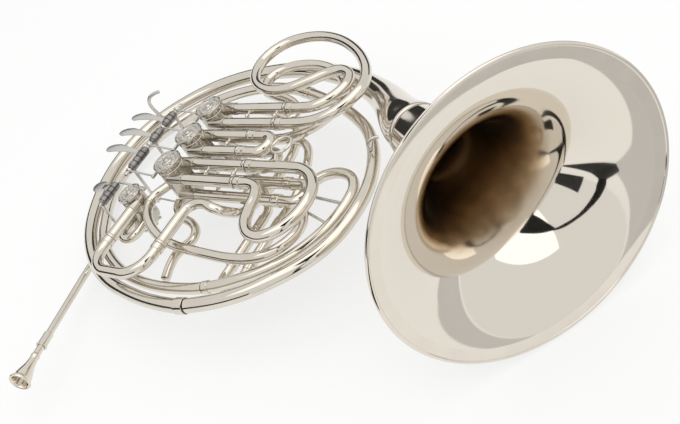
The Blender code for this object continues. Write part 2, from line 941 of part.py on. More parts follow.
MAIN_SLIDE_LEVEL = -24.0
MAIN_SLIDE_LEG_X = -32.0
MAIN_SLIDE_FAR_X = 58.0
MAIN_SLIDE_SLEEVE_END = -152.0
MAIN_SLIDE_BOTTOM = -196.0
MAIN_SLIDE_BEND = 31.0
MAIN_SLIDE_INSERTION = 40.0
CHANGE_KNUCKLE_END = -108.5


def main_slide():
    """The large U at the bottom, which tunes the whole horn."""
    level = MAIN_SLIDE_LEVEL
    bore = clear_bore(SLIDE_RADIUS, SLEEVE_SIDES)
    for word, x, start in (
        ("left", MAIN_SLIDE_LEG_X, CHANGE_KNUCKLE_END),
        ("right", MAIN_SLIDE_FAR_X, CHANGE_KNUCKLE_END + 0.5),
    ):
        end = start - MAIN_SLIDE_SLEEVE_END - GAP
        profile = pipe_profile(0, end, SLEEVE_RADIUS, bore)
        profile[2:3] = [(end - 4, SLEEVE_RADIUS), (end - 3.9, FERRULE_RADIUS), (end, FERRULE_RADIUS)]
        base = (x, start - GAP, level)
        turned(f"main_slide_{word}_sleeve", profile, base, (0, -1, 0), metal_coil, SLEEVE_SIDES)
    legs_top = MAIN_SLIDE_SLEEVE_END + MAIN_SLIDE_INSERTION
    leg = MAIN_SLIDE_INSERTION + 2 * GAP
    corners = [
        (MAIN_SLIDE_LEG_X, legs_top, level),
        (MAIN_SLIDE_LEG_X, MAIN_SLIDE_BOTTOM, level),
        (MAIN_SLIDE_FAR_X, MAIN_SLIDE_BOTTOM, level),
        (MAIN_SLIDE_FAR_X, legs_top, level),
    ]
    dense = bent_curve(corners, MAIN_SLIDE_BEND)
    return slide_crook("main_tuning_slide", dense, CROOK_RADIUS, MAIN_SLIDE_LEG_X, leg)


# The change valve's fixed bow

CHANGE_BOW_X = (-53.0, -29.0)
CHANGE_BOW_LEVEL = -47.0
CHANGE_BOW_Y = -122.0
CHANGE_BOW_RADIUS = 6.0


def change_bow():
    """The short fixed U that joins two of the change valve's mouths."""
    dense = downward_bow(CHANGE_BOW_X, CHANGE_KNUCKLE_END - GAP, CHANGE_BOW_Y, CHANGE_BOW_LEVEL)
    return tube("change_valve_bow", dense, CHANGE_BOW_RADIUS, metal_coil)


def downward_bow(legs_x, start_y, bow_y, level):
    """A U that opens towards +Y, from one leg to the other."""
    middle = sum(legs_x) / 2
    half = (legs_x[1] - legs_x[0]) / 2
    dense = [Vector((legs_x[0], start_y, level))]
    for i in range(11):
        angle = math.radians(180 + 18 * i)
        dense.append(Vector((middle + half * math.cos(angle), bow_y + half * math.sin(angle), level)))
    dense.append(Vector((legs_x[1], start_y, level)))
    return dense


# Leadpipe, receiver and mouthpiece

MOUTHPIECE_RIM = Vector((-44.0, -339.0, -50.0))
LEADPIPE_BEND_START = Vector((-110.0, -155.0, -71.5))
LEADPIPE_POINTS = [
    (-117.5, -138, -72.5),
    (-134, -113, -74),
    (-156, -83, -76),
    (-173, -48, -74.5),
    (-182, -5, -71),
    (-179, 42, -72),
    (-163, 82, -77),
    (-136, 112, -78.5),
    (-102, 128, -77.5),
    (-62, 127, -77.5),
    (-22, 121, -77.5),
    (20, 112, -77.5),
    (56, 98, -78),
    (82, 75, -78.5),
    (94, 45, -79),
    (96, 10, -79),
    (96, -25, -77),
    (98, -52, -69),
    (103, -71, -57),
    (107, -83, -43),
    (104, -91, -31),
    (95, -92, -25),
    (82, -89, -24),
    (69, -90, -24),
    (60, -97, -24),
    (58, -107.4, -24),
]


def leadpipe_direction():
    return (MOUTHPIECE_RIM - LEADPIPE_BEND_START).normalized()


MOUTHPIECE_LENGTH = 70.0
MOUTHPIECE_INSERTION = 18.0
RECEIVER_LENGTH = 24.0


def leadpipe():
    """The leadpipe, which widens as it runs under the coil to the main slide."""
    direction = leadpipe_direction()
    visible = MOUTHPIECE_LENGTH - MOUTHPIECE_INSERTION
    receiver_mouth = MOUTHPIECE_RIM - direction * visible
    start = receiver_mouth - direction * (RECEIVER_LENGTH - 4)
    run = [start - direction * step for step in (0, 40, 80)]
    dense = smooth_curve([*run, LEADPIPE_BEND_START, *LEADPIPE_POINTS])
    total = lengths_along(dense)[-1]
    tube("leadpipe", dense, lambda s: 4.4 + 1.7 * s / total, metal_coil)
    back = 4 + GAP - RECEIVER_LENGTH
    outer = [(0, 4.85), (0, 6.4), (-2.4, 6.4), (-2.8, 5.7), (back, 5.5)]
    inner = [(back, 3.0), (-MOUTHPIECE_INSERTION - 1, 3.85)]
    turned("mouthpiece_receiver", outer + inner, receiver_mouth, direction, metal_coil, 12)


def mouthpiece():
    """A turned cup mouthpiece: rim, cup, throat and the tapered shank."""
    direction = leadpipe_direction()
    shank_radius = 3.55
    outer = [
        (-MOUTHPIECE_LENGTH, shank_radius),
        (-MOUTHPIECE_LENGTH + MOUTHPIECE_INSERTION, 4.3),
        (-40, 4.5),
        (-38.5, 5.2),
        (-36.5, 5.2),
        (-35, 4.7),
        (-24, 6.2),
        (-14, 9.0),
        (-5, 11.0),
        (-3.2, 12.6),
        (-1.0, 12.9),
        (0, 12.0),
        (0, 10.2),
        (-1.6, 9.0),
        (-9, 7.8),
        (-24, 3.2),
        (-32, 2.2),
        (-MOUTHPIECE_LENGTH, 2.7),
    ]
    return turned("mouthpiece", outer, MOUTHPIECE_RIM, direction, metal_bell, 12)


# Second and third air paths behind the valves

TUNING_SLIDE_LEVEL = -76.0
TUNING_SLIDE_X = (121.0, 147.0)
TUNING_SLEEVE_START = -62.0
TUNING_SLEEVE_END = -128.0
TUNING_SLEEVE_RADIUS = 6.2
TUNING_LEG_RADIUS = 5.25
TUNING_BOW_RADIUS = 6.0
TUNING_BOW_Y = -150.0
TUNING_RING_RADIUS = 6.9
TUNING_RING_LENGTH = 5.7
SIDE_TUBE_RADIUS = 5.4
RETURN_TUBE_RADIUS = 5.6


def f_tuning_slide():
    """The F side's tuning slide, behind the coil, with its own two sleeves."""
    level = TUNING_SLIDE_LEVEL
    span = TUNING_SLEEVE_START - TUNING_SLEEVE_END
    outer, ring = TUNING_SLEEVE_RADIUS, TUNING_RING_RADIUS
    legs = []
    for x in TUNING_SLIDE_X:
        profile = pipe_profile(0, span, outer, clear_bore(TUNING_LEG_RADIUS, SLEEVE_SIDES))
        profile[2:3] = [(span - 4, outer), (span - 3.9, ring), (span, ring)]
        base = (x, TUNING_SLEEVE_START, level)
        legs.append(turned_mesh(profile, base, (0, -1, 0), SLEEVE_SIDES))
    sleeves = object_from(
        "f_tuning_slide_sleeves", legs[0], metal_coil, (TUNING_SLIDE_X[0], TUNING_SLEEVE_START, level)
    )
    brace_y = TUNING_SLEEVE_START - 0.4 * span
    brace = rod_between(
        (TUNING_SLIDE_X[0] + 5.7, brace_y, level), (TUNING_SLIDE_X[1] - 5.7, brace_y, level), 1.7
    )
    parts = [helper(legs[1], "f_tuning_leg"), helper(brace, "f_tuning_brace")]
    combine(sleeves, "UNION", parts)
    dense = downward_bow(TUNING_SLIDE_X, TUNING_SLEEVE_END + INSERTION, TUNING_BOW_Y, level)
    leg = INSERTION + GAP
    far = lengths_along(dense)[-1] - leg

    def outline(s):
        return TUNING_LEG_RADIUS if s < leg or s > far else TUNING_BOW_RADIUS

    length = TUNING_RING_LENGTH
    rings = [(leg, leg + length, ring), (far - length, far, ring)]
    stations = stations_with_rings(dense, outline, rings)
    origin = (sum(TUNING_SLIDE_X) / 2, TUNING_SLEEVE_END, level)
    object_from("f_tuning_slide", tube_mesh(stations, TUBE_SIDES), metal_coil, origin)


def f_side_tubes():
    """Fixed tubes that join the valves, the F tuning slide and the coil."""
    third_y = ROTOR_SPACING
    tube(
        "third_valve_tube",
        smooth_curve(
            [
                (CASING_RADIUS + GAP, third_y, -31.5),
                (30, third_y, -31.5),
                (40, third_y, -35),
                (47, third_y, -45),
                (54, third_y, -56),
                (68, third_y + 3, -63),
                (90, 53, -65),
                (111, 52, -66),
                (128, 42, -66.5),
                (139, 24, -68),
                (146, -2, -71),
                (149, -28, -74.5),
                (148, -48, -76),
                (147, TUNING_SLEEVE_START + GAP, -76),
            ]
        ),
        SIDE_TUBE_RADIUS,
        metal_coil,
    )
    tube(
        "second_valve_tube",
        smooth_curve(
            [
                (CASING_RADIUS + GAP, 0, -31.5),
                (30, 0, -31.5),
                (40, 0, -35),
                (47, 0, -45),
                (54, -1, -56),
                (68, -5, -62.5),
                (90, -16, -63),
                (108, -31, -67),
                (118, -45, -74),
                (121, -54, -76),
                (121, TUNING_SLEEVE_START + 0.5, -76),
            ]
        ),
        SIDE_TUBE_RADIUS,
        metal_coil,
    )
    tube(
        "coil_return_tube",
        smooth_curve(
            [
                (-4, -65.8, -53),
                (0, -76, -54),
                (20, -88.5, -55.5),
                (38, -94, -56),
                (53, -103, -56),
                (59, -116, -56),
                (54, -129, -56),
                (50, -142, -56),
                (51.5, -157, -57),
                (55.5, -172.5, -59),
            ]
        ),
        RETURN_TUBE_RADIUS,
        metal_coil,
        rings=[(98, 105, 6.5)],
    )


# Levers

LEVERS = {
    # lever: (rotor's place in the row, touch's Y at its root, hub's Y range)
    "first": (-1, -33.0, (-58.5, -24.0)),
    "second": (0, -4.0, (-12.5, 9.0)),
    "third": (1, 24.0, (16.0, 39.0)),
}
TOUCH_ROOT_X = -66.0
TOUCH_ROOT_HALF_WIDTH = 3.2
TOUCH_REACH = 56.0
TOUCH_THICKNESS = 1.8
TOUCH_FOOT_RISE = 2.2
TOUCH_ARCH_RISE = 7.0
TOUCH_ARCH_TURN = 111.6
TOUCH_DISH = 0.022
LINK_SPREAD = PIN_RADIUS_FROM_AXIS * math.sin(math.radians(45))
HUB_RADIUS = 4.7
CRANK_LENGTH = LEVER_AXIS_Z - LINK_LEVEL
LINK_PIN_RADIUS = 1.5
LINK_SIDE_STEP = 4.1
LINK_EYE_RADIUS = 3.4
LINK_ROD_RADIUS = 1.25
OPEN_EYE_RADIUS = 3.6


def link_y(rotor_place):
    """The links run in X, halfway between the pins' nearest and furthest Y."""
    middle = (PIN_RADIUS_FROM_AXIS + LINK_SPREAD) / 2
    return rotor_place * ROTOR_SPACING - middle


def touch_outline(root_y):
    """A leaf-shaped finger touch with one straight side, seen from above."""
    edge = [
        (-66, -3.2),
        (-78, -3.6),
        (-92, -5.0),
        (-106, -6.6),
        (-117, -8.0),
        (-122.5, -6.0),
        (-122.5, -1.5),
        (-117, 3.5),
        (-108, 6.8),
        (-98, 7.0),
        (-88, 5.0),
        (-78, 3.4),
        (-66, 3.2),
    ]
    return [(x, root_y + y) for x, y in edge]


def crank_foot(axis, length):
    """Where a crank's pin is at rest, half of the stroke short of upright."""
    return axis + Vector((-LINK_SPREAD, 0, -math.sqrt(length**2 - LINK_SPREAD**2)))


def crank_mesh(axis, foot, y, length):
    """The flat crank arm below a lever's hub, and the pin at its foot."""
    lean = (foot - axis).normalized()
    across = Vector((-lean.z, 0, lean.x))
    bar = bmesh.new()
    corners = []
    for side_y in (y - 1.3, y + 1.3):
        for along, side in ((3.4, -2.6), (3.4, 2.6), (length + 3, 2.0), (length + 3, -2.0)):
            at = axis + lean * along + across * side
            corners.append(bar.verts.new((at.x, side_y, at.z)))
    bar.faces.new(corners[:4])
    bar.faces.new(corners[4:])
    for i in range(4):
        j = (i + 1) % 4
        bar.faces.new((corners[i], corners[j], corners[j + 4], corners[i + 4]))
    pin = rod_between((foot.x, y + 1.0, foot.z), (foot.x, y + 6.0, foot.z), LINK_PIN_RADIUS)
    return bar, pin


def finger_lever(word):
    """One rocking lever: touch, hub on the hinge rod, and the crank down to its link."""
    place, root_y, hub_range = LEVERS[word]
    axis = Vector((LEVER_AXIS_X, 0, LEVER_AXIS_Z))
    bore = clear_bore(LEVER_ROD_RADIUS, 10)
    profile = pipe_profile(hub_range[0], hub_range[1], HUB_RADIUS, bore)
    made = object_from(
        f"{word}_lever",
        turned_mesh(profile, axis, (0, 1, 0), 10),
        metal_satin,
        (axis.x, (hub_range[0] + hub_range[1]) / 2, axis.z),
    )
    touch = plate_mesh(touch_outline(root_y), 0, TOUCH_THICKNESS)
    for vert in touch.verts:
        out = max(0.0, TOUCH_ROOT_X - vert.co.x)
        arch = math.sin(math.radians(TOUCH_ARCH_TURN) * min(out / TOUCH_REACH, 1.0))
        vert.co.z += LEVER_AXIS_Z + TOUCH_FOOT_RISE + TOUCH_ARCH_RISE * arch
        vert.co.z -= TOUCH_DISH * (vert.co.y - root_y) ** 2
    low, high = root_y - TOUCH_ROOT_HALF_WIDTH, root_y + TOUCH_ROOT_HALF_WIDTH
    arm = plate_mesh([(-67.5, low), (-58.5, low), (-58.5, high), (-67.5, high)], -4, -1)
    foot = crank_foot(axis, CRANK_LENGTH)
    crank = crank_mesh(axis, foot, link_y(place), CRANK_LENGTH)
    pieces = [touch, arm, *crank]
    combine(made, "UNION", [helper(bm, f"{word}_lever_{i}") for i, bm in enumerate(pieces)])
    hole = turned_mesh(
        rod_profile(hub_range[0] - 2, hub_range[1] + 2, bore), axis, (0, 1, 0), 10
    )
    combine(made, "DIFFERENCE", [helper(hole, f"{word}_lever_hole")])
    return made


def lever_link(word, foot, pin_place):
    """The link from a lever's crank to its rotor's stop arm. The far eye is the open pivot."""
    near = Vector((foot.x, foot.y + LINK_SIDE_STEP, foot.z))
    bore = clear_bore(LINK_PIN_RADIUS, 8)
    made = object_from(
        f"{word}_link",
        turned_mesh(pipe_profile(-1.6, 1.6, LINK_EYE_RADIUS, bore), near, (0, 1, 0), 8),
        metal_satin,
        near,
    )
    far_eye = turned_mesh(
        pipe_profile(-1.3, 1.3, OPEN_EYE_RADIUS + 2.0, OPEN_EYE_RADIUS), pin_place, (0, 0, 1), 8
    )
    rod_start = near + Vector((LINK_EYE_RADIUS - 0.5, 0, 0))
    rod_end = pin_place - Vector((OPEN_EYE_RADIUS + 0.9, 0, 0))
    rod = rod_between(rod_start, rod_end, LINK_ROD_RADIUS)
    combine(made, "UNION", [helper(far_eye, f"{word}_link_eye"), helper(rod, f"{word}_link_rod")])
    return made


def links():
    for word, (place, _, _) in LEVERS.items():
        y = link_y(place)
        foot = crank_foot(Vector((LEVER_AXIS_X, y, LEVER_AXIS_Z)), CRANK_LENGTH)
        lever_link(word, foot, Vector((-LINK_SPREAD, y, LINK_LEVEL - 1.0)))
    foot = crank_foot(Vector((THUMB_AXIS.x, THUMB_LINK_Y - LINK_SIDE_STEP, THUMB_AXIS.z)), THUMB_CRANK)
    pin_place = Vector((CHANGE_VALVE.x - LINK_SPREAD, THUMB_LINK_Y, LINK_LEVEL - 1.0))
    lever_link("thumb", foot, pin_place)


def lever_rod():
    """The hinge rod that the three finger levers turn on, with its finial and its nut."""
    axis = (LEVER_AXIS_X, 0, LEVER_AXIS_Z)
    profile = [
        (-70, 0.0),
        (-70, 2.4),
        (-66.5, 2.4),
        (-66.4, LEVER_ROD_RADIUS),
        (50, LEVER_ROD_RADIUS),
        (50.1, 2.4),
        (54, 2.6),
        (56, 1.6),
        (56, 0.0),
    ]
    turned("lever_hinge_rod", profile, axis, (0, 1, 0), metal_satin, 8)


RACK_POSTS_Y = (-62.3, -18.3, 12.5, 44.5)
RACK_RAIL_RADIUS = 2.2
RACK_RAIL_X = -CASING_RADIUS - GAP - RACK_RAIL_RADIUS
RACK_RAIL_Z = -12.0
RACK_EYE_RADIUS = 4.4
RACK_EYE_LENGTH = 2.8
RACK_ARM_RADIUS = 1.3


def lever_rack():
    """A rail soldered along the casings, with four arms whose eyes hold the hinge rod."""
    rail_start = (RACK_RAIL_X, RACK_POSTS_Y[0] - 3, RACK_RAIL_Z)
    rail_end = (RACK_RAIL_X, RACK_POSTS_Y[-1] + 3, RACK_RAIL_Z)
    rail = rod_between(rail_start, rail_end, RACK_RAIL_RADIUS)
    made = object_from("lever_rack", rail, metal_satin, (RACK_RAIL_X, 0, RACK_RAIL_Z))
    axis = Vector((LEVER_AXIS_X, 0, LEVER_AXIS_Z))
    bore = clear_bore(LEVER_ROD_RADIUS, 8)
    half = RACK_EYE_LENGTH / 2
    arms = []
    for y in RACK_POSTS_Y:
        eye = pipe_profile(y - half, y + half, RACK_EYE_RADIUS, bore)
        arms.append(turned_mesh(eye, axis, (0, 1, 0), 8))
        start = Vector((LEVER_AXIS_X + 3.2, y + 0.01, LEVER_AXIS_Z))
        arms.append(rod_between(start, (RACK_RAIL_X, y + 0.01, RACK_RAIL_Z), RACK_ARM_RADIUS))
    combine(made, "UNION", [helper(bm, "rack_arm") for bm in arms])
    return made


# Thumb lever

THUMB_AXIS = Vector((-95.0, 0.0, -22.0))
THUMB_HUB_Y = (-103.0, -70.0)
THUMB_PIN_OFFSET = (PIN_RADIUS_FROM_AXIS + LINK_SPREAD) / 2
THUMB_LINK_Y = CHANGE_VALVE.y - THUMB_PIN_OFFSET
THUMB_CRANK = THUMB_AXIS.z - LINK_LEVEL
PADDLE_CENTRE = (-121.0, -78.0)
PADDLE_HALF_LENGTH = 13.0
PADDLE_HALF_WIDTH = 9.5
PADDLE_NECK = 8.0


def thumb_lever():
    """The thumb's lever: a broad paddle, its hub, and the crank that works the change valve."""
    origin = (THUMB_AXIS.x, sum(THUMB_HUB_Y) / 2, THUMB_AXIS.z)
    hub = rod_profile(*THUMB_HUB_Y, HUB_RADIUS)
    made = object_from(
        "thumb_lever", turned_mesh(hub, THUMB_AXIS, (0, 1, 0), 10), metal_satin, origin
    )
    paddle = []
    for i in range(12):
        angle = math.tau * i / 12
        x = PADDLE_CENTRE[0] + PADDLE_HALF_LENGTH * math.cos(angle)
        y = PADDLE_CENTRE[1] + PADDLE_HALF_WIDTH * math.sin(angle)
        paddle.append((x, y))
    low, high = PADDLE_CENTRE[1] - PADDLE_NECK / 2, PADDLE_CENTRE[1] + PADDLE_NECK / 2
    start, end = THUMB_AXIS.x, THUMB_AXIS.x - 17
    neck = [(end, low), (start, low), (start, high), (end, high)]
    plates = [plate_mesh(paddle, -21.6, -19.8), plate_mesh(neck, -21.4, -19.2)]
    foot = crank_foot(THUMB_AXIS, THUMB_CRANK)
    crank = crank_mesh(THUMB_AXIS, foot, THUMB_LINK_Y - LINK_SIDE_STEP, THUMB_CRANK)
    combine(made, "UNION", [helper(bm, "thumb_lever_piece") for bm in [*plates, *crank]])
    bore = clear_bore(LEVER_ROD_RADIUS, 8)
    hole = rod_profile(THUMB_HUB_Y[0] - 2, THUMB_HUB_Y[1] + 2, bore)
    cutter = turned_mesh(hole, THUMB_AXIS, (0, 1, 0), 8)
    combine(made, "DIFFERENCE", [helper(cutter, "thumb_lever_hole")])
    return made


def thumb_bracket():
    """The thumb lever's pin and the arm that carries it from the change valve's casing."""
    pin = turned_mesh(
        rod_profile(THUMB_HUB_Y[0] - 4, THUMB_HUB_Y[1] + 5, LEVER_ROD_RADIUS), THUMB_AXIS, (0, 1, 0), 8
    )
    made = object_from("thumb_lever_bracket", pin, metal_satin, THUMB_AXIS)
    y = THUMB_HUB_Y[1] + 2.8
    elbow = Vector((BRACKET_FOOT.x, y, BRACKET_FOOT.z))
    arm = rod_between((THUMB_AXIS.x, y, THUMB_AXIS.z), elbow, 1.5)
    foot = rod_between(elbow + Vector((0, 1, 0)), BRACKET_FOOT, 1.5)
    combine(made, "UNION", [helper(arm, "bracket_arm"), helper(foot, "bracket_foot")])
    return made


BRACKET_FOOT = CHANGE_VALVE + Vector((-5.0, 14.5, -30.0))

# Braces and the hook


def pinky_hook():
    """The little finger's hook, soldered to the coil."""
    dense = smooth_curve(HOOK_POINTS)
    return tube("pinky_hook", dense, 2.4, metal_satin)


HOOK_POINTS = [
    (-144, 72, -54.5),
    (-148, 71.5, -40),
    (-149.5, 70, -24),
    (-148, 70, -14),
    (-143, 73, -7),
    (-134, 77, -4),
    (-126, 81, -4),
]


def bell_brace():
    """The S-shaped stay between the coil and the bell."""
    dense = smooth_curve(BELL_BRACE_POINTS)
    return tube("bell_brace", dense, 1.9, metal_satin)


BELL_BRACE_POINTS = [
    (236, 29.5, -54.4),
    (236, 30.5, -47),
    (239, 33, -43),
    (243, 35.5, -42),
    (248.2, 38.8, -43.6),
]


def leadpipe_brace():
    """The short flared stay between the leadpipe and the bell's tail."""
    start, end = Vector(LEADPIPE_BRACE[0]), Vector(LEADPIPE_BRACE[1])
    length = (end - start).length
    profile = [(0, 0), (0, 3.2), (0.24 * length, 1.6), (0.76 * length, 1.6), (length, 3.2), (length, 0)]
    return turned("leadpipe_brace", profile, start, end - start, metal_coil, 8)


LEADPIPE_BRACE = ((-94.6, -179.8, -65.4), (-89.4, -169.3, -60.1))


def all_pieces():
    bell_flare()
    bell_tail()
    coil()
    valve_row()
    valve_slides()
    pull_ring()
    main_slide()
    change_bow()
    leadpipe()
    mouthpiece()
    f_tuning_slide()
    f_side_tubes()
    for word in LEVERS:
        finger_lever(word)
    thumb_lever()
    thumb_bracket()
    links()
    lever_rod()
    lever_rack()
    pinky_hook()
    bell_brace()
    leadpipe_brace()


def bench_points(name, keep=lambda point: True):
    """The corners of a finished piece, in the bench frame and in metres."""
    piece = bpy.data.objects[name].evaluated_get(bpy.context.evaluated_depsgraph_get())
    corners = [piece.matrix_world @ vert.co for vert in piece.data.vertices]
    return [corner for corner in corners if keep(corner)]


def table_normal():
    """The table's upward normal: it touches the bell's rim and the leadpipe's two lowest bends."""
    rests = (
        bench_points("bell_flare"),
        bench_points("leadpipe", lambda point: point.y > 0.02),
        bench_points("leadpipe", lambda point: point.y < 0.02),
    )
    up = Vector((0, 0, 1))
    for _ in range(12):
        rim, front, back = (min(points, key=lambda point: point.dot(up)) for points in rests)
        up = (rim - front).cross(rim - back).normalized()
        if up.z < 0:
            up = -up
    return up


def lay_down():
    """Parents every piece to one empty, and lays the horn on a table at world Z = 0."""
    pieces = [made for made in bpy.context.collection.objects if made.type == "MESH"]
    up = table_normal()
    along = (Vector((1, 0, 0)) - up * up.x).normalized()
    turn = Matrix((along, up.cross(along), up))
    corners = np.array(
        [turn @ p for made in pieces if not made.hide_render for p in bench_points(made.name)]
    )
    low, high = corners.min(axis=0), corners.max(axis=0)
    shift = Vector((-(low[0] + high[0]) / 2, -(low[1] + high[1]) / 2, -low[2]))
    pose = bpy.data.objects.new("lying_pose", None)
    bpy.context.collection.objects.link(pose)
    pose.matrix_world = Matrix.Translation(shift) @ turn.to_4x4()
    for made in pieces:
        made.parent = pose


def clear_scene():
    for old in list(bpy.data.objects):
        bpy.data.objects.remove(old)


clear_scene()
metal_bell = nickel("nickel_silver_bell", (0.80, 0.77, 0.69), 0.08)
metal_coil = nickel("nickel_silver_tube", (0.80, 0.77, 0.70), 0.10)
metal_valve = nickel("nickel_silver_valve", (0.74, 0.71, 0.64), 0.22)
metal_ornament = nickel("nickel_ornament", (0.70, 0.69, 0.66), 0.30)
metal_satin = nickel("satin_nickel", (0.66, 0.66, 0.63), 0.34)
metal_plain = nickel("plain_metal", (0.7, 0.7, 0.7), 0.3)
all_pieces()
bpy.context.view_layer.update()
lay_down()
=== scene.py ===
import json
import math

import bpy
from mathutils import Matrix, Vector


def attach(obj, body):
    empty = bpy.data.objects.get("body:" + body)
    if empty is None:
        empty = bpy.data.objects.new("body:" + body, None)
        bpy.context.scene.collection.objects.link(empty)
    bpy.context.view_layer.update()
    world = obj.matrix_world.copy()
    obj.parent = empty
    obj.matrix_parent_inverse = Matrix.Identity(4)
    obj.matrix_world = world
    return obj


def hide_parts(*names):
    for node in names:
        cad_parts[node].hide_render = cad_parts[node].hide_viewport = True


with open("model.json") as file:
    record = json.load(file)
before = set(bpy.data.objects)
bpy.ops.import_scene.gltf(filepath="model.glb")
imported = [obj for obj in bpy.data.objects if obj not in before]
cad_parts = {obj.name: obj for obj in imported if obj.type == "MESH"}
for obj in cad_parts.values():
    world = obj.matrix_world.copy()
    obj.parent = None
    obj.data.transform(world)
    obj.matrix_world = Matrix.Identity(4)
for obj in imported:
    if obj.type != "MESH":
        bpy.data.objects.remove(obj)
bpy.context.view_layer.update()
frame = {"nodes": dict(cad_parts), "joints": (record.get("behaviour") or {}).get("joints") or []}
bpy.ops.object.select_all(action="DESELECT")

# The bench
# The horn lies tilted on its rim and coil. Its sizes are kept in millimetres on the maker's
# bench: Z is the rotors' axis, Y the row of valves, X the valve slides, from the second cap.
joints = {joint["name"]: joint for joint in frame["joints"]}
rotor_axis = Vector(joints["second_rotor_turn"]["axis"]).normalized()
row_axis = -Vector(joints["second_lever_press"]["axis"])
row_axis = (row_axis - rotor_axis * row_axis.dot(rotor_axis)).normalized()
slide_axis = row_axis.cross(rotor_axis)
ROTOR_JOINT_DEPTH = 30.0
MM = 0.001
cap_face = Vector(joints["second_rotor_turn"]["pos_m"]) + rotor_axis * (ROTOR_JOINT_DEPTH * MM)
turn_to_row = Matrix((slide_axis, row_axis, rotor_axis)).transposed()
BENCH = Matrix.Translation(cap_face) @ turn_to_row.to_4x4() @ Matrix.Scale(MM, 4)

# Camera
# A long lens a metre away, a little above the rim of the bell.
LENS_MM = 47.65
CAMERA_PLACE = Vector((846.6, -508.7, 511.4))
CAMERA_RIGHT = Vector((0.7664, 0.4592, -0.4492))
CAMERA_UP = Vector((-0.0623, 0.7492, 0.6594))
bpy.ops.object.camera_add()
camera = bpy.context.object
camera.data.lens = LENS_MM
camera.data.sensor_width = 36.0
right = CAMERA_RIGHT.normalized()
up = (CAMERA_UP - right * CAMERA_UP.dot(right)).normalized()
facing = Matrix((right, up, right.cross(up))).transposed()
camera.matrix_world = (
    Matrix.Translation(BENCH @ CAMERA_PLACE) @ (turn_to_row @ facing).to_4x4()
)
bpy.context.scene.camera = camera

# Floor and light
# A pale seamless table under a white tent, with black flags that draw the dark edges of the metal.
FLOOR_SIZE = 6.0
FLOOR_SHADE = (0.93, 0.93, 0.92, 1.0)
SHADOW_KEPT = 0.32


def node_material(name):
    made = bpy.data.materials.new(name)
    made.use_nodes = True
    tree = made.node_tree
    return made, tree, tree.nodes["Principled BSDF"]


def seen_directly(tree):
    """1 for a ray from the camera, or one by way of metal or glass."""
    path = tree.nodes.new("ShaderNodeLightPath")
    total = path.outputs["Is Camera Ray"]
    for ray in ("Is Glossy Ray", "Is Transmission Ray"):
        larger = tree.nodes.new("ShaderNodeMath")
        larger.operation = "MAXIMUM"
        tree.links.new(total, larger.inputs[0])
        tree.links.new(path.outputs[ray], larger.inputs[1])
        total = larger.outputs[0]
    return total


floor_paper, tree, shader = node_material("floor_paper")
shader.inputs["Base Color"].default_value = FLOOR_SHADE
shader.inputs["Roughness"].default_value = 0.9
white = tree.nodes.new("ShaderNodeEmission")
white.inputs["Color"].default_value = (1.0, 1.0, 1.0, 1.0)
white.inputs["Strength"].default_value = 1.0
share = tree.nodes.new("ShaderNodeMath")
share.operation = "MULTIPLY"
share.inputs[1].default_value = 1.0 - SHADOW_KEPT
tree.links.new(seen_directly(tree), share.inputs[0])
blend = tree.nodes.new("ShaderNodeMixShader")
tree.links.new(share.outputs[0], blend.inputs[0])
tree.links.new(shader.outputs[0], blend.inputs[1])
tree.links.new(white.outputs[0], blend.inputs[2])
tree.links.new(blend.outputs[0], tree.nodes["Material Output"].inputs["Surface"])
bpy.ops.mesh.primitive_plane_add(size=FLOOR_SIZE, location=(0, 0, 0))
floor = bpy.context.object
floor.name = "table_floor"
floor.data.materials.append(floor_paper)

world = bpy.context.scene.world or bpy.data.worlds.new("studio")
bpy.context.scene.world = world
world.use_nodes = True
background = world.node_tree.nodes["Background"]
background.inputs["Color"].default_value = (1.0, 1.0, 1.0, 1.0)
background.inputs["Strength"].default_value = 0.86

# The gap between the tent's sheets, where the camera looks in. Its two edges run up from the
# table, each written as points in metres above the table.
GAP_EDGES = [
    ((0.13, -0.39, 0.003), (0.12, -0.45, 0.003)), ((0.52, -0.26, 0.003), (0.41, -0.58, 0.02)),
    ((0.58, -0.32, 0.003), (0.50, -0.57, 0.05)), ((0.58, -0.54, 0.03), (0.50, -0.58, 0.10)),
    ((0.59, -0.54, 0.07), (0.51, -0.58, 0.14)), ((0.58, -0.55, 0.16), (0.50, -0.57, 0.25)),
    ((0.55, -0.55, 0.27), (0.48, -0.53, 0.39)), ((0.51, -0.51, 0.41), (0.44, -0.45, 0.52)),
    ((0.46, -0.40, 0.57), (0.42, -0.38, 0.60)), ((0.42, -0.33, 0.63), (0.21, -0.31, 0.67)),
    ((0.35, -0.11, 0.75), (0.05, -0.20, 0.70)), ((0.32, 0.01, 0.77), (0.05, -0.15, 0.72)),
]
GREY_MAT_EDGES = [
    ((0.50, -0.34, 0.003), (1.50, -0.90, 0.003)), ((0.53, -0.12, 0.003), (1.60, -0.10, 0.003)),
    ((0.50, 0.06, 0.003), (1.50, 0.70, 0.003)), ((0.42, 0.16, 0.003), (0.90, 1.30, 0.003)),
]
WALL_DISTANCE = 1.5
WALL_TOP = 0.42
WALL_EDGES = []
for i in range(29):
    angle = math.radians(75 + 7.5 * i)
    x, y = WALL_DISTANCE * math.cos(angle), WALL_DISTANCE * math.sin(angle)
    WALL_EDGES.append(((x, y, 0.01), (x, y, WALL_TOP)))


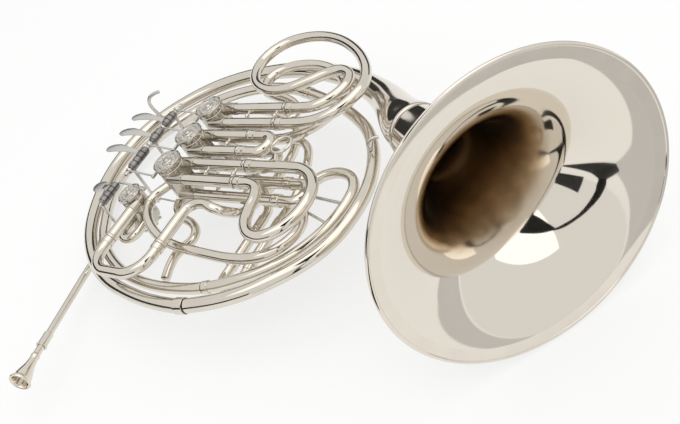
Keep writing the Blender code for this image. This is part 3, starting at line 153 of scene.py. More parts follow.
def card(name, edges, shade):
    """A strip of felt or board between two edges, which only shows in the metal."""
    points = [point for pair in edges for point in pair]
    faces = [(2 * i, 2 * i + 1, 2 * i + 3, 2 * i + 2) for i in range(len(edges) - 1)]
    mesh = bpy.data.meshes.new(name)
    mesh.from_pydata(points, [], faces)
    made = bpy.data.objects.new(name, mesh)
    bpy.context.collection.objects.link(made)
    paint, _, shader = node_material(name)
    shader.inputs["Base Color"].default_value = (shade, shade, shade, 1.0)
    shader.inputs["Roughness"].default_value = 1.0
    mesh.materials.append(paint)
    made.visible_camera = False
    made.visible_shadow = False
    made.visible_diffuse = False


card("tent_gap", GAP_EDGES, 0.01)
card("grey_mat", GREY_MAT_EDGES, 0.60)
card("dark_wall", WALL_EDGES, 0.03)

TENT_ROOF_SIZE = 2.4
bpy.ops.object.light_add(type="AREA", location=(0.3, 0.0, 1.75))
roof = bpy.context.object
roof.data.energy = 11.0
roof.data.size = TENT_ROOF_SIZE

bpy.context.scene.view_settings.view_transform = "Standard"

# Bell flare
# Sheet nickel silver spun thin over a mandrel, polished inside and out, with its edge rolled
# over a wire. The inside turns browner and duller from behind the player's hand towards the throat.
BELL_RADIUS = 155.8
BELL_RIM_CENTRE = Vector((468.7, -60.0, -39.0))
BELL_AZIMUTH = math.radians(-31.7)
BELL_ELEVATION = math.radians(1.2)
BELL_WALL = 1.1
RIM_WIRE_RADIUS = 2.2
FLARE_LENGTH = 200.0
FLARE_SCALE = 41.4
FLARE_POWER = 0.88
FLARE_STEPS = 144
THROAT_BROWN_STARTS = 56.0
THROAT_BROWN_FULL = 88.0
bell_direction = Vector(
    (
        math.cos(BELL_AZIMUTH) * math.cos(BELL_ELEVATION),
        math.sin(BELL_AZIMUTH) * math.cos(BELL_ELEVATION),
        math.sin(BELL_ELEVATION),
    )
)


def noise_between(tree, scale, detail, low, high):
    """A slow change over the metal, between two values."""
    place = tree.nodes.new("ShaderNodeTexCoord")
    noise = tree.nodes.new("ShaderNodeTexNoise")
    noise.inputs["Scale"].default_value = scale
    noise.inputs["Detail"].default_value = detail
    spread = tree.nodes.new("ShaderNodeMapRange")
    spread.inputs["From Min"].default_value = 0.3
    spread.inputs["From Max"].default_value = 0.7
    spread.inputs["To Min"].default_value = low
    spread.inputs["To Max"].default_value = high
    tree.links.new(place.outputs["Object"], noise.inputs["Vector"])
    tree.links.new(noise.outputs["Fac"], spread.inputs["Value"])
    return spread.outputs["Result"]


def mixed_shades(tree, share, first, second):
    """The colour between two shades, by a share that a node gives."""
    mix = tree.nodes.new("ShaderNodeMix")
    mix.data_type = "RGBA"
    mix.inputs["A"].default_value = (*first, 1.0)
    mix.inputs["B"].default_value = (*second, 1.0)
    tree.links.new(share, mix.inputs["Factor"])
    return mix.outputs["Result"]


def polished(name, shade, aged, roughness, grain_height, cloud_scale=38.0):
    """Polished metal: faint clouding in its colour and gloss, and a fine buffed grain."""
    made, tree, shader = node_material(name)
    shader.inputs["Metallic"].default_value = 1.0
    clouds = noise_between(tree, cloud_scale, 3.0, 0.0, 1.0)
    tree.links.new(mixed_shades(tree, clouds, shade, aged), shader.inputs["Base Color"])
    gloss = noise_between(tree, 90.0, 4.0, roughness * 0.75, roughness * 1.3)
    tree.links.new(gloss, shader.inputs["Roughness"])
    grain = noise_between(tree, 2600.0, 2.0, 0.0, 1.0)
    bump = tree.nodes.new("ShaderNodeBump")
    bump.inputs["Strength"].default_value = grain_height
    bump.inputs["Distance"].default_value = 0.00004
    tree.links.new(grain, bump.inputs["Height"])
    tree.links.new(bump.outputs["Normal"], shader.inputs["Normal"])
    return made


def browned_inside():
    """The bell's inside, which turns brown from the throat inwards."""
    made, tree, shader = node_material("bell_inside")
    shader.inputs["Metallic"].default_value = 1.0
    place = tree.nodes.new("ShaderNodeTexCoord")
    depth = tree.nodes.new("ShaderNodeVectorMath")
    depth.operation = "DOT_PRODUCT"
    axis = (turn_to_row @ bell_direction).normalized()
    depth.inputs[1].default_value = axis
    rim_depth = (BENCH @ BELL_RIM_CENTRE).dot(axis)
    # The inside's colour turns browner and its gloss duller with depth along the bell's axis, from 56
    # mm to 88 mm in from the rim.
    browning = tree.nodes.new("ShaderNodeMapRange")
    browning.interpolation_type = "SMOOTHSTEP"
    browning.inputs["From Min"].default_value = rim_depth - THROAT_BROWN_STARTS * MM
    browning.inputs["From Max"].default_value = rim_depth - THROAT_BROWN_FULL * MM
    tree.links.new(place.outputs["Object"], depth.inputs[0])
    tree.links.new(depth.outputs["Value"], browning.inputs["Value"])
    streaks = noise_between(tree, 60.0, 4.0, 0.0, 1.0)
    brown = mixed_shades(tree, streaks, (0.58, 0.47, 0.34), (0.42, 0.33, 0.23))
    mix = tree.nodes.new("ShaderNodeMix")
    mix.data_type = "RGBA"
    mix.inputs["A"].default_value = (0.78, 0.725, 0.64, 1.0)
    tree.links.new(brown, mix.inputs["B"])
    tree.links.new(browning.outputs["Result"], mix.inputs["Factor"])
    tree.links.new(mix.outputs["Result"], shader.inputs["Base Color"])
    gloss = tree.nodes.new("ShaderNodeMapRange")
    gloss.inputs["To Min"].default_value = 0.055
    gloss.inputs["To Max"].default_value = 0.22
    tree.links.new(browning.outputs["Result"], gloss.inputs["Value"])
    tree.links.new(gloss.outputs["Result"], shader.inputs["Roughness"])
    return made


def only(made):
    """Selects one object and makes it the active one."""
    bpy.ops.object.select_all(action="DESELECT")
    made.select_set(True)
    bpy.context.view_layer.objects.active = made


def made_good():
    """Merges doubled corners and turns every face outwards, in edit mode."""
    bpy.ops.object.mode_set(mode="EDIT")
    bpy.ops.mesh.select_all(action="SELECT")
    bpy.ops.mesh.remove_doubles(threshold=0.0004)
    bpy.ops.mesh.normals_make_consistent(inside=False)
    bpy.ops.object.mode_set(mode="OBJECT")


def turned(name, outline, base, direction, steps=64, closed=True):
    """A piece turned on a lathe: an outline of (distance along, radius) spun about its axis."""
    axis = Vector(direction).normalized()
    across = axis.orthogonal().normalized()
    points = [Vector(base) + axis * along + across * radius for along, radius in outline]
    count = len(points)
    edges = []
    for i in range(count if closed else count - 1):
        j = (i + 1) % count
        if outline[i][1] > 0 or outline[j][1] > 0:
            edges.append((i, j))
    mesh = bpy.data.meshes.new(name)
    mesh.from_pydata(points, edges, [])
    made = bpy.data.objects.new(name, mesh)
    bpy.context.collection.objects.link(made)
    only(made)
    bpy.ops.object.mode_set(mode="EDIT")
    bpy.ops.mesh.select_all(action="SELECT")
    bpy.ops.mesh.spin(steps=steps, angle=math.tau, center=Vector(base), axis=axis)
    bpy.ops.object.mode_set(mode="OBJECT")
    made_good()
    bpy.ops.object.shade_smooth_by_angle(angle=math.radians(34))
    return made


def settle(made, finish, slot, body, *nodes):
    """Takes a finished piece from the bench to its place in the horn, and fixes it to its body."""
    made.data.transform(BENCH)
    made.data.materials.clear()
    made.data.materials.append(finish)
    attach(made, body)
    if nodes:
        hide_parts(*nodes)
    return made


def flare_radius(depth):
    rim = BELL_RADIUS - RIM_WIRE_RADIUS
    return rim * (FLARE_SCALE / (depth + FLARE_SCALE)) ** FLARE_POWER


def flare_wall(depth):
    """The wall measured square to the axis."""
    slope = FLARE_POWER * flare_radius(depth) / (depth + FLARE_SCALE)
    return BELL_WALL * math.sqrt(1 + slope * slope)


bell_finish = polished("bell_silver", (0.78, 0.725, 0.64), (0.74, 0.685, 0.60), 0.06, 0.04)
bell_inside = browned_inside()
PROFILE_STEPS = 44
depths = [3.0 + (FLARE_LENGTH - 3.0) * (i / PROFILE_STEPS) ** 2 for i in range(PROFILE_STEPS + 1)]
outer = [(-depth, flare_radius(depth)) for depth in reversed(depths)]
inner = [(-depth, flare_radius(depth) - flare_wall(depth)) for depth in depths]
rolled = []
for i in range(24):
    angle = math.radians(215 - 275 * i / 23)
    rolled.append(
        (
            RIM_WIRE_RADIUS * (math.cos(angle) - 1.0),
            BELL_RADIUS + RIM_WIRE_RADIUS * (math.sin(angle) - 1.0),
        )
    )
bell = turned("bell_flare_spun", outer + rolled + inner, BELL_RIM_CENTRE, bell_direction, FLARE_STEPS)
settle(bell, bell_finish, "polished_bell", "horn", "bell_flare")
bell.data.materials.append(bell_inside)
rim_centre = BENCH @ BELL_RIM_CENTRE
bell_axis = (turn_to_row @ bell_direction).normalized()
for face in bell.data.polygons:
    offset = face.center - rim_centre
    spoke = offset - bell_axis * offset.dot(bell_axis)
    depth = -offset.dot(bell_axis) / MM
    if depth > 2.5 and face.normal.dot(spoke) < 0:
        face.material_index = 1

# Bell tail
# The bell's sheet runs on as a hand-hammered, seamed tail. It narrows as it goes once round
# the coil, and ends in the first ferrule.
TAIL_END_RADIUS = 8.3
TAIL_EXTRA_RADIUS = 25.2
TAIL_TAPER_LENGTH = 130.0
TAIL_POINTS = [
    (219, 107, -52), (186, 129, -55), (148, 148, -56), (112, 160, -56), (75, 168, -56),
    (37, 173, -56), (0, 172, -56), (-38, 167, -56), (-75, 157, -56), (-109, 141, -56),
    (-140, 117, -56), (-167, 86, -56), (-184, 48, -56), (-188, 4, -56), (-179, -42, -56),
    (-161, -83, -56), (-135, -121, -56), (-102, -152, -56), (-66, -175, -56),
    (-28, -191, -56), (12, -200, -56), (51, -205, -56), (84, -206, -56), (104, -205, -56),
    (118.4, -202.6, -56),
]


def smooth_route(points, step=3.0):
    """A smooth curve through the bends of a tube (centripetal Catmull-Rom)."""
    knots = [Vector(p) for p in points]
    knots = [knots[0] * 2 - knots[1], *knots, knots[-1] * 2 - knots[-2]]
    route = [knots[1].copy()]
    for a, b, c, d in zip(knots, knots[1:], knots[2:], knots[3:]):
        t1 = max((b - a).length, 1e-6) ** 0.5
        t2 = t1 + max((c - b).length, 1e-6) ** 0.5
        t3 = t2 + max((d - c).length, 1e-6) ** 0.5
        count = max(2, round((c - b).length / step))
        for i in range(1, count + 1):
            t = t1 + (t2 - t1) * i / count
            ab = a.lerp(b, t / t1)
            bc = b.lerp(c, (t - t1) / (t2 - t1))
            cd = c.lerp(d, (t - t2) / (t3 - t2))
            abc = ab.lerp(bc, t / t2)
            bcd = bc.lerp(cd, (t - t1) / (t3 - t1))
            route.append(abc.lerp(bcd, (t - t1) / (t2 - t1)))
    return route


def distances(route):
    total = [0.0]
    for a, b in zip(route, route[1:]):
        total.append(total[-1] + (b - a).length)
    return total


def place_at(route, run, distance):
    distance = min(max(distance, 0.0), run[-1])
    i = 1
    while i < len(run) - 1 and run[i] < distance:
        i += 1
    return route[i - 1].lerp(route[i], (distance - run[i - 1]) / (run[i] - run[i - 1]))


def tube(name, route, radius, collars=(), sides=24, caps=True):
    """Tube bent along its route, with its soldered collars at (start, end, radius)."""
    run = distances(route)
    stations = [(s, None) for s in run]
    for start, end, size in collars:
        stations = [station for station in stations if not start - 1 < station[0] < end + 1]
        stations += [(start - 0.05, None), (start, size - 0.35), (start + 0.35, size)]
        stations += [(end - 0.35, size), (end, size - 0.35), (end + 0.05, None)]
    stations = sorted(s for s in stations if 0 <= s[0] <= run[-1])
    curve = bpy.data.curves.new(name, "CURVE")
    curve.dimensions = "3D"
    curve.fill_mode = "FULL"
    curve.bevel_depth = 1.0
    curve.bevel_resolution = (sides - 4) // 2
    curve.use_fill_caps = caps
    spline = curve.splines.new("POLY")
    spline.points.add(len(stations) - 1)
    for point, (s, size) in zip(spline.points, stations):
        point.co = (*place_at(route, run, s), 1.0)
        point.radius = size or (radius(s) if callable(radius) else radius)
    made = bpy.data.objects.new(name, curve)
    bpy.context.collection.objects.link(made)
    only(made)
    bpy.ops.object.convert(target="MESH")
    made = bpy.context.object
    made_good()
    bpy.ops.object.shade_smooth_by_angle(angle=math.radians(34))
    return made


tube_finish = polished("tube_silver", (0.75, 0.70, 0.62), (0.70, 0.65, 0.57), 0.075, 0.05)
joint = FLARE_LENGTH + 0.3
start = BELL_RIM_CENTRE - bell_direction * joint
straight = BELL_RIM_CENTRE - bell_direction * (FLARE_LENGTH + 8)
lead = BELL_RIM_CENTRE - bell_direction * (FLARE_LENGTH + 30)
tail_route = [start, *smooth_route([straight, lead, *TAIL_POINTS])]
tail_length = distances(tail_route)[-1]
tail = tube(
    "bell_tail_tapered",
    tail_route,
    lambda s: TAIL_END_RADIUS + TAIL_EXTRA_RADIUS * math.exp(-s / TAIL_TAPER_LENGTH),
    collars=[(tail_length - 13, tail_length - 0.5, TAIL_END_RADIUS + 1.2)],
    sides=48,
    caps=False,
)
wall = tail.modifiers.new("sheet", "SOLIDIFY")
wall.thickness = BELL_WALL
wall.offset = -1.0
bpy.ops.object.modifier_apply(modifier=wall.name)
settle(tail, tube_finish, "polished_tube", "horn", "bell_tail")
tail.data.materials.append(bell_inside)
inside = [BENCH @ point for point in tail_route[::6]]
for face in tail.data.polygons:
    nearest = min(inside, key=lambda point: (point - face.center).length_squared)
    if face.normal.dot(face.center - nearest) < 0:
        face.material_index = 1

# Coil
# Two more turns of tapering branch tube inside the tail, soldered end to end under plain
# ferrules, and the branch that curls back inside them to the valves.
BRANCH_POINTS = [
    (119, -202.5, -56), (137, -197, -56), (155, -190.5, -56), (172, -182.5, -56),
    (190, -171.5, -56.5), (210, -155, -57), (229, -136, -58), (246, -112, -59),
    (256, -84, -60), (259, -52, -61), (256, -20, -62), (246, 11, -62), (230, 40, -62),
    (207, 67, -62), (180, 87, -62), (148, 105, -62), (108, 122, -62), (64, 137, -62),
    (22, 145, -62), (-20, 145, -62), (-60, 136, -62), (-97, 118, -62), (-129, 91, -62),
    (-152, 58, -62), (-164, 25, -62), (-167.5, -8, -62), (-162, -40, -62), (-150, -70, -62),
    (-131, -97.5, -62), (-110, -123.5, -62), (-83, -145, -62), (-49, -162.5, -62),
    (-12, -175, -62), (28, -181, -62), (66, -181.5, -62), (104, -177, -62),
    (117.4, -173.8, -62),
]
FIRST_BRANCH_SHARE = 0.42
INLET_POINTS = [
    (118, -173.6, -62), (136, -168, -62), (158, -157.5, -62), (183, -143, -62),
    (206, -123, -62), (224, -99, -62), (236, -71, -62), (240, -42, -62), (237, -20, -62),
    (225, -5, -62), (206, 0.5, -62), (189, -3, -62), (177, -14, -62), (173, -31, -62),
    (179, -48, -62), (191, -62, -60.5), (203, -78, -56.5), (208, -97, -52.5),
    (203, -115, -50), (189, -130, -49), (168, -138.5, -48), (142, -141.5, -47),
    (114, -141, -46), (86, -140, -44), (60, -138.5, -42), (38, -134.5, -39), (16, -126, -36),
    (-3, -113.5, -33), (-16.5, -98, -31), (-20.5, -82, -30), (-17, -72, -30),
    (-9.0, -60.2, -30),
]
branch_route = smooth_route(BRANCH_POINTS)
branch_run = distances(branch_route)
cut = branch_run[-1] * FIRST_BRANCH_SHARE
meeting = place_at(branch_route, branch_run, cut)
first_route = [p for p, s in zip(branch_route, branch_run) if s < cut - 1] + [meeting]
second_route = [meeting] + [p for p, s in zip(branch_route, branch_run) if s > cut + 1]
first_length = distances(first_route)[-1]
second_length = distances(second_route)[-1]
first = tube(
    "first_branch_tube",
    first_route,
    lambda s: 8.3 - 0.9 * s / first_length,
    collars=[(first_length - 9, first_length - 0.1, 8.3)],
    sides=28,
)
settle(first, tube_finish, "polished_tube", "horn", "first_branch")
second = tube(
    "second_branch_tube",
    second_route,
    lambda s: 7.3 - 0.5 * s / second_length,
    collars=[(0.4, 9, 8.3)],
    sides=28,
)
settle(second, tube_finish, "polished_tube", "horn", "second_branch")
inlet_route = smooth_route(INLET_POINTS)
inlet_length = distances(inlet_route)[-1]
inlet = tube(
    "valve_inlet_tube",
    inlet_route,
    lambda s: 6.7 - 0.8 * s / inlet_length,
    collars=[(0.5, 8, 7.7), (inlet_length - 34, inlet_length - 30, 7.0)],
)
settle(inlet, tube_finish, "polished_tube", "horn", "valve_inlet_branch")

# Valve casings
# Cast and turned cylinders, a little duller than the tube, with short knuckles that every
# slide is soldered into. The bottom plate carries the spindle.
ROTOR_SPACING = 46.7
CASING_RADIUS = 17.2
CAP_RADIUS = 18.3
CASING_TOP = -4.0
CASING_BOTTOM = -60.0
LEG_OFFSET = 12.85
F_LEVEL = -18.0
BB_LEVEL = -45.0
KNUCKLE_END = 30.0
KNUCKLE_RADIUS = 7.3
CHANGE_VALVE = Vector((-43.0, -90.5, 0.0))
CHANGE_SCALE = 0.86
CHANGE_CAP_TOP = -12.0
MAIN_SLIDE_LEG_X = -32.0
MAIN_SLIDE_LEVEL = -24.0
CHANGE_BOW_X = (-53.0, -29.0)
CHANGE_BOW_LEVEL = -47.0
CHANGE_KNUCKLE_END = -108.5
WORDS = ("first", "second", "third")


def joined(name, parts):
    """Several shells soldered into one piece."""
    only(parts[0])
    for part in parts:
        part.select_set(True)
    if len(parts) > 1:
        bpy.ops.object.join()
    made = bpy.context.object
    made.name = name
    made.data.name = name
    return made


def knuckle(start, end, radius=KNUCKLE_RADIUS):
    """A short tube with a rolled bead at its mouth."""
    start, end = Vector(start), Vector(end)
    length = (end - start).length
    outline = [(0, 0), (0, radius), (length - 3.4, radius), (length - 3.0, radius + 0.45)]
    outline += [(length - 0.6, radius + 0.45), (length - 0.1, radius), (length - 0.1, 0)]
    return turned("knuckle", outline, start, end - start, 40)


valve_finish = polished("valve_silver", (0.62, 0.58, 0.51), (0.54, 0.50, 0.44), 0.17, 0.10)
ornament_finish = polished("cap_silver", (0.78, 0.75, 0.70), (0.44, 0.41, 0.36), 0.12, 0.20, 620.0)
valves = [
    (f"{word}_valve", Vector((0, (i - 1) * ROTOR_SPACING, 0)), 1.0, 0.0)
    for i, word in enumerate(WORDS)
]
valves.append(("change_valve", CHANGE_VALVE, CHANGE_SCALE, CHANGE_CAP_TOP))
for name, centre, scale, cap_top in valves:
    top = cap_top + CASING_TOP
    radius = CASING_RADIUS * scale
    outline = [
        (top, 0), (top, radius - 1.2), (top - 3.6, radius - 1.2), (top - 4, radius - 0.5),
        (top - 4.5, radius), (-30.5, radius), (-31.0, radius - 0.35), (-32.0, radius - 0.35),
        (-32.5, radius), (CASING_BOTTOM + 5, radius), (CASING_BOTTOM + 2.4, radius - 0.5),
        (CASING_BOTTOM + 1.2, radius - 1.2), (CASING_BOTTOM, radius - 2.5),
        (CASING_BOTTOM, 7.0), (CASING_BOTTOM + 0.6, 6.4), (CASING_BOTTOM + 0.6, 0),
    ]
    parts = [turned("casing", outline, centre, (0, 0, 1), 80)]
    if name == "change_valve":
        mouths = [(MAIN_SLIDE_LEG_X, MAIN_SLIDE_LEVEL)]
        mouths += [(x, CHANGE_BOW_LEVEL) for x in CHANGE_BOW_X]
        for x, level in mouths:
            parts.append(knuckle((x, centre.y - 6, level), (x, CHANGE_KNUCKLE_END, level), 6.9))
    else:
        for level in (F_LEVEL, BB_LEVEL):
            for side in (-1, 1):
                y = centre.y + side * LEG_OFFSET
                parts.append(knuckle((4, y, level), (KNUCKLE_END, y, level)))
    casing = joined(f"{name}_casing_turned", parts)
    settle(casing, valve_finish, "valve_metal", "horn", f"{name}_casing")

# Valve caps
# Screwed on over each casing. The face has a raised rim, a ring of beads and leaves, and a
# boss in the middle, all cast and then polished on their tops.
for name, centre, scale, cap_top in valves:
    radius = CAP_RADIUS * scale
    face = cap_top - 1.4
    outline = [
        (face - 2.0, 0), (face - 2.0, radius - 0.3), (face - 1.7, radius), (cap_top - 0.9, radius),
        (cap_top - 0.3, radius - 0.25), (cap_top, radius - 0.9), (cap_top - 0.2, radius - 1.5),
        (face + 0.1, radius - 2.1), (face, radius - 2.6), (face, 0.72 * radius),
        (face + 0.7, 0.69 * radius), (face + 0.7, 0.66 * radius), (face + 0.1, 0.63 * radius),
        (face + 0.1, 0.36 * radius), (face + 0.8, 0.33 * radius), (face + 1.1, 0.29 * radius),
        (face + 0.9, 0.25 * radius), (face + 1.0, 0.21 * radius), (face + 2.0, 0.19 * radius),
        (face + 2.7, 0.15 * radius), (face + 3.1, 0.08 * radius), (face + 3.2, 0),
    ]
    parts = [turned("cap", outline, centre, (0, 0, 1), 96)]
    BEADS = 28
    for i in range(BEADS):
        angle = math.tau * i / BEADS
        place = centre + Vector((math.cos(angle), math.sin(angle), 0)) * (0.79 * radius)
        bpy.ops.mesh.primitive_uv_sphere_add(
            segments=10, ring_count=6, radius=0.62, location=place + Vector((0, 0, face + 0.1))
        )
        bpy.ops.object.transform_apply(location=True)
        bpy.ops.object.shade_smooth()
        parts.append(bpy.context.object)
    LEAVES = 12
    for i in range(LEAVES):
        angle = math.tau * (i + 0.5) / LEAVES
        bpy.ops.mesh.primitive_uv_sphere_add(segments=12, ring_count=8, radius=1.0)
        leaf = bpy.context.object
        outward = Vector((math.cos(angle), math.sin(angle), 0))
        leaf.data.transform(
            Matrix.Translation(centre + outward * (0.49 * radius) + Vector((0, 0, face + 0.1)))
            @ Matrix.Rotation(angle, 4, "Z")
            @ Matrix.Diagonal((0.105 * radius, 0.055 * radius, 0.55, 1.0))
        )
        bpy.ops.object.shade_smooth()
        parts.append(leaf)
    cap = joined(f"{name}_cap_cast", parts)
    settle(cap, ornament_finish, "ornamented_cap", "horn", f"{name}_cap")

# Rotors
# Each is hidden inside its casing. The frame's own rotors stay, with the casings' finish.
for name, _, _, _ in valves:
    rotor = frame["nodes"][f"{name}_rotor"]
    rotor.data.materials.clear()
    rotor.data.materials.append(valve_finish)

# Stop arms
# A hub clamped on the end of each spindle, with a pin for the link on one side and a tail on
# the other that would meet the cork bumper.
LINK_LEVEL = -68.0
PIN_RADIUS_FROM_AXIS = 11.0
REST_PIN_ANGLE = math.radians(-135)
ARM_HUB_RADIUS = 6.0
LINK_PIN_RADIUS = 1.5


def bar_between(start, end, width, height):
    """A flat bar with rounded edges from one point to another, broad in the bench's plane."""
    start, end = Vector(start), Vector(end)
    bpy.ops.mesh.primitive_cube_add(size=1.0)
    made = bpy.context.object
    made.data.transform(Matrix.Diagonal(((end - start).length, width, height, 1.0)))
    edge = made.modifiers.new("edge", "BEVEL")
    edge.width = 0.22 * min(width, height)
    edge.segments = 3
    bpy.ops.object.modifier_apply(modifier=edge.name)
    turn = (end - start).to_track_quat("X", "Z").to_matrix().to_4x4()
    made.data.transform(Matrix.Translation((start + end) / 2) @ turn)
    bpy.ops.object.shade_smooth_by_angle(angle=math.radians(34))
    return made


def rounded_rod(start, end, radius, steps=24):
    """A turned rod with softened ends."""
    start, end = Vector(start), Vector(end)
    length = (end - start).length
    soft = min(0.4, radius * 0.4)
    outline = [(0, 0), (0, radius - soft), (soft, radius), (length - soft, radius)]
    outline += [(length, radius - soft), (length, 0)]
    return turned("rod", outline, start, end - start, steps)


def eye(centre, axis, half_length, radius, bore, steps=36):
    """A round eye with softened edges and its hole."""
    soft = 0.35
    outline = [
        (-half_length, bore), (-half_length, radius - soft), (soft - half_length, radius),
        (half_length - soft, radius), (half_length, radius - soft), (half_length, bore),
    ]
    return turned("eye", outline, centre, axis, steps)


satin_finish = polished("satin_silver", (0.70, 0.69, 0.65), (0.62, 0.61, 0.57), 0.24, 0.25)
for name, centre, _, _ in valves:
    low = LINK_LEVEL + 1.0
    outward = Vector((math.cos(REST_PIN_ANGLE), math.sin(REST_PIN_ANGLE), 0))
    pin_place = centre + outward * PIN_RADIUS_FROM_AXIS
    tail_place = centre - outward * PIN_RADIUS_FROM_AXIS
    level = Vector((0, 0, LINK_LEVEL + 2.8))
    parts = [
        eye(centre + Vector((0, 0, low + 2.7)), (0, 0, 1), 2.7, ARM_HUB_RADIUS, 3.05),
        bar_between(centre + outward * 4.0 + level, pin_place + outward * 1.8 + level, 4.6, 2.2),
        bar_between(centre - outward * 4.0 + level, tail_place + level, 4.0, 2.2),
        rounded_rod(
            pin_place + Vector((0, 0, LINK_LEVEL - 3.0)),
            pin_place + Vector((0, 0, LINK_LEVEL + 2.6)),
            LINK_PIN_RADIUS,
        ),
    ]
    word = name.removesuffix("_valve")
    body = "thumb_rotor_body" if word == "change" else f"{word}_rotor_body"
    arm = joined(f"{name}_stop_arm_milled", parts)
    settle(arm, satin_finish, "satin_metal", body, f"{name}_stop_arm")

# Valve slides
# Each valve has a slide at both levels: two fixed outer legs with a ball stay between them,
# and a crook that slides in them on thinner inner legs, stopped by a ring on each.
SLEEVE_RADIUS = 6.9
SLEEVE_BORE = 6.15
SLIDE_RADIUS = 5.9
CROOK_RADIUS = 6.7
BB_CROOK_RADIUS = 6.3
FERRULE_RADIUS = 7.7
INSERTION = 45.0
GAP = 0.3
CROOK_RING_LENGTH = 7.0
STAY_X = (57.0, 103.0)
THIRD_F_POINTS = [
    (118, 33.85, -18), (138, 33.9, -18), (158, 35.5, -18), (178, 40.5, -17), (197, 52, -15.5),
    (210, 70, -14), (213, 92, -14), (203, 116, -14), (184, 139, -14.5), (157, 161, -15.5),
    (125, 179, -16.5), (92, 189.4, -17.5), (60, 190.8, -18), (34, 183, -18), (18, 167, -18),
    (12, 147, -18), (16, 126, -18), (29, 108, -18), (49, 96, -18), (72, 91, -18),
    (96, 95, -18), (120, 107, -18), (142, 119.5, -18), (161, 123, -18), (177, 114, -18),
    (183, 98, -18), (178, 81, -18), (166, 68, -18), (151, 61, -18), (136, 59.6, -18),
    (118, 59.55, -18),
]
FIRST_F_POINTS = [
    (118, -33.85, -18), (150, -33.85, -18), (180, -33.85, -18), (201, -36, -18),
    (219, -46, -18), (231, -62, -18), (235, -83, -18), (231, -104, -18), (219, -121, -18),
    (202, -130, -18), (184, -127, -18), (170, -114, -18), (163, -96, -18), (159, -79, -18),
    (151, -66, -18), (138, -60.2, -18), (118, -59.55, -18),
]
THIRD_BB_POINTS = [
    (82, 33.85, -45), (100, 34, -44.5), (122, 36, -42), (145, 44, -38.5), (164, 59, -35),
    (173, 80, -34), (170, 102, -34), (155, 123, -34), (131, 141, -34), (103, 152.5, -34),
    (75, 156.5, -34), (50, 154, -34), (32, 144, -34), (25, 129, -34), (30, 114, -34),
    (44, 104, -34.5), (62, 99, -35.5), (80, 95, -37.5), (95, 87, -40.5), (101, 75, -43.5),
    (96, 63.5, -45), (82, 59.55, -45),
]


def sleeve(start, end, base, direction, radius=SLEEVE_RADIUS, bore=SLEEVE_BORE):
    """An outer leg: a straight tube with a ferrule at its mouth."""
    ring = radius + FERRULE_RADIUS - SLEEVE_RADIUS
    outline = [
        (start, bore), (start, radius), (end - 4.0, radius), (end - 3.6, ring - 0.25),
        (end - 3.2, ring), (end - 0.5, ring), (end, ring - 0.4), (end, bore),
    ]
    return turned("sleeve", outline, base, direction, 44)


def ball_stay(start, end):
    """A stay with a foot at each end and a ball in the middle."""
    start, end = Vector(start), Vector(end)
    length = (end - start).length
    outline = [(0, 0), (0, 3.0), (0.8, 2.3), (1.6, 1.4), (length / 2 - 2.6, 1.3)]
    for i in range(9):
        angle = math.radians(150 - 15 * i)
        outline.append((length / 2 + 2.9 * math.cos(angle), 2.9 * math.sin(angle)))
    outline += [(length / 2 + 2.6, 1.3), (length - 1.6, 1.4), (length - 0.8, 2.3)]
    outline += [(length, 3.0), (length, 0)]
    return turned("stay", outline, start, end - start, 28)


def hairpin(start_x, bow_x, y_middle, level):
    """A plain U, whose bow is a half circle."""
    route = [Vector((start_x, y_middle - LEG_OFFSET, level))]
    for i in range(31):
        angle = math.radians(-90 + 6 * i)
        y = y_middle + LEG_OFFSET * math.sin(angle)
        route.append(Vector((bow_x + LEG_OFFSET * math.cos(angle), y, level)))
    route.append(Vector((start_x, y_middle + LEG_OFFSET, level)))
    return route


def crook(name, route, leg, radius, inner_radius=SLIDE_RADIUS, ring=FERRULE_RADIUS):
    """A crook with its two thinner inner legs and the ring that stops each."""
    far = distances(route)[-1] - leg

    def size(s):
        return inner_radius if s < leg or s > far else radius

    collars = [(leg, leg + CROOK_RING_LENGTH, ring), (far - CROOK_RING_LENGTH, far, ring)]
    return tube(name, route, size, collars, sides=28)


SLIDES = {
    # slide: (row's Y, level, sleeves' end, bow's X or the crook's points, leg, crook's radius)
    "third_f": (ROTOR_SPACING, F_LEVEL, 116, THIRD_F_POINTS, INSERTION + GAP, CROOK_RADIUS),
    "second_f": (0.0, F_LEVEL, 90, 113, INSERTION, CROOK_RADIUS),
    "first_f": (-ROTOR_SPACING, F_LEVEL, 116, FIRST_F_POINTS, INSERTION + GAP, CROOK_RADIUS),
    "third_bb": (ROTOR_SPACING, BB_LEVEL, 80, THIRD_BB_POINTS, INSERTION - 8 + GAP, BB_CROOK_RADIUS),
    "second_bb": (0.0, BB_LEVEL, 86, 106, INSERTION, BB_CROOK_RADIUS),
    "first_bb": (-ROTOR_SPACING, BB_LEVEL, 160, 182, INSERTION, BB_CROOK_RADIUS),
}
for name, (row_y, level, sleeve_end, bow, leg, radius) in SLIDES.items():
    parts = []
    for side in (-1, 1):
        base = (0, row_y + side * LEG_OFFSET, level)
        parts.append(sleeve(KNUCKLE_END + GAP, sleeve_end, base, (1, 0, 0)))
    for x in STAY_X:
        if x < sleeve_end - 6:
            near = row_y - LEG_OFFSET + SLEEVE_RADIUS - 0.5
            far = row_y + LEG_OFFSET - SLEEVE_RADIUS + 0.5
            parts.append(ball_stay((x, near, level), (x, far, level)))
    pair = joined(f"{name}_outer_legs", parts)
    settle(pair, tube_finish, "polished_tube", "horn", f"{name}_slide_sleeves")
    if isinstance(bow, list):
        back = Vector((GAP - leg, 0, 0))
        route = [Vector(bow[0]) + back, *smooth_route(bow, 2.5), Vector(bow[-1]) + back]
    else:
        route = hairpin(sleeve_end + GAP - INSERTION, bow, row_y, level)
    made = crook(f"{name}_crook", route, leg, radius)
    settle(made, tube_finish, "polished_tube", f"{name}_slide_body", f"{name}_slide")

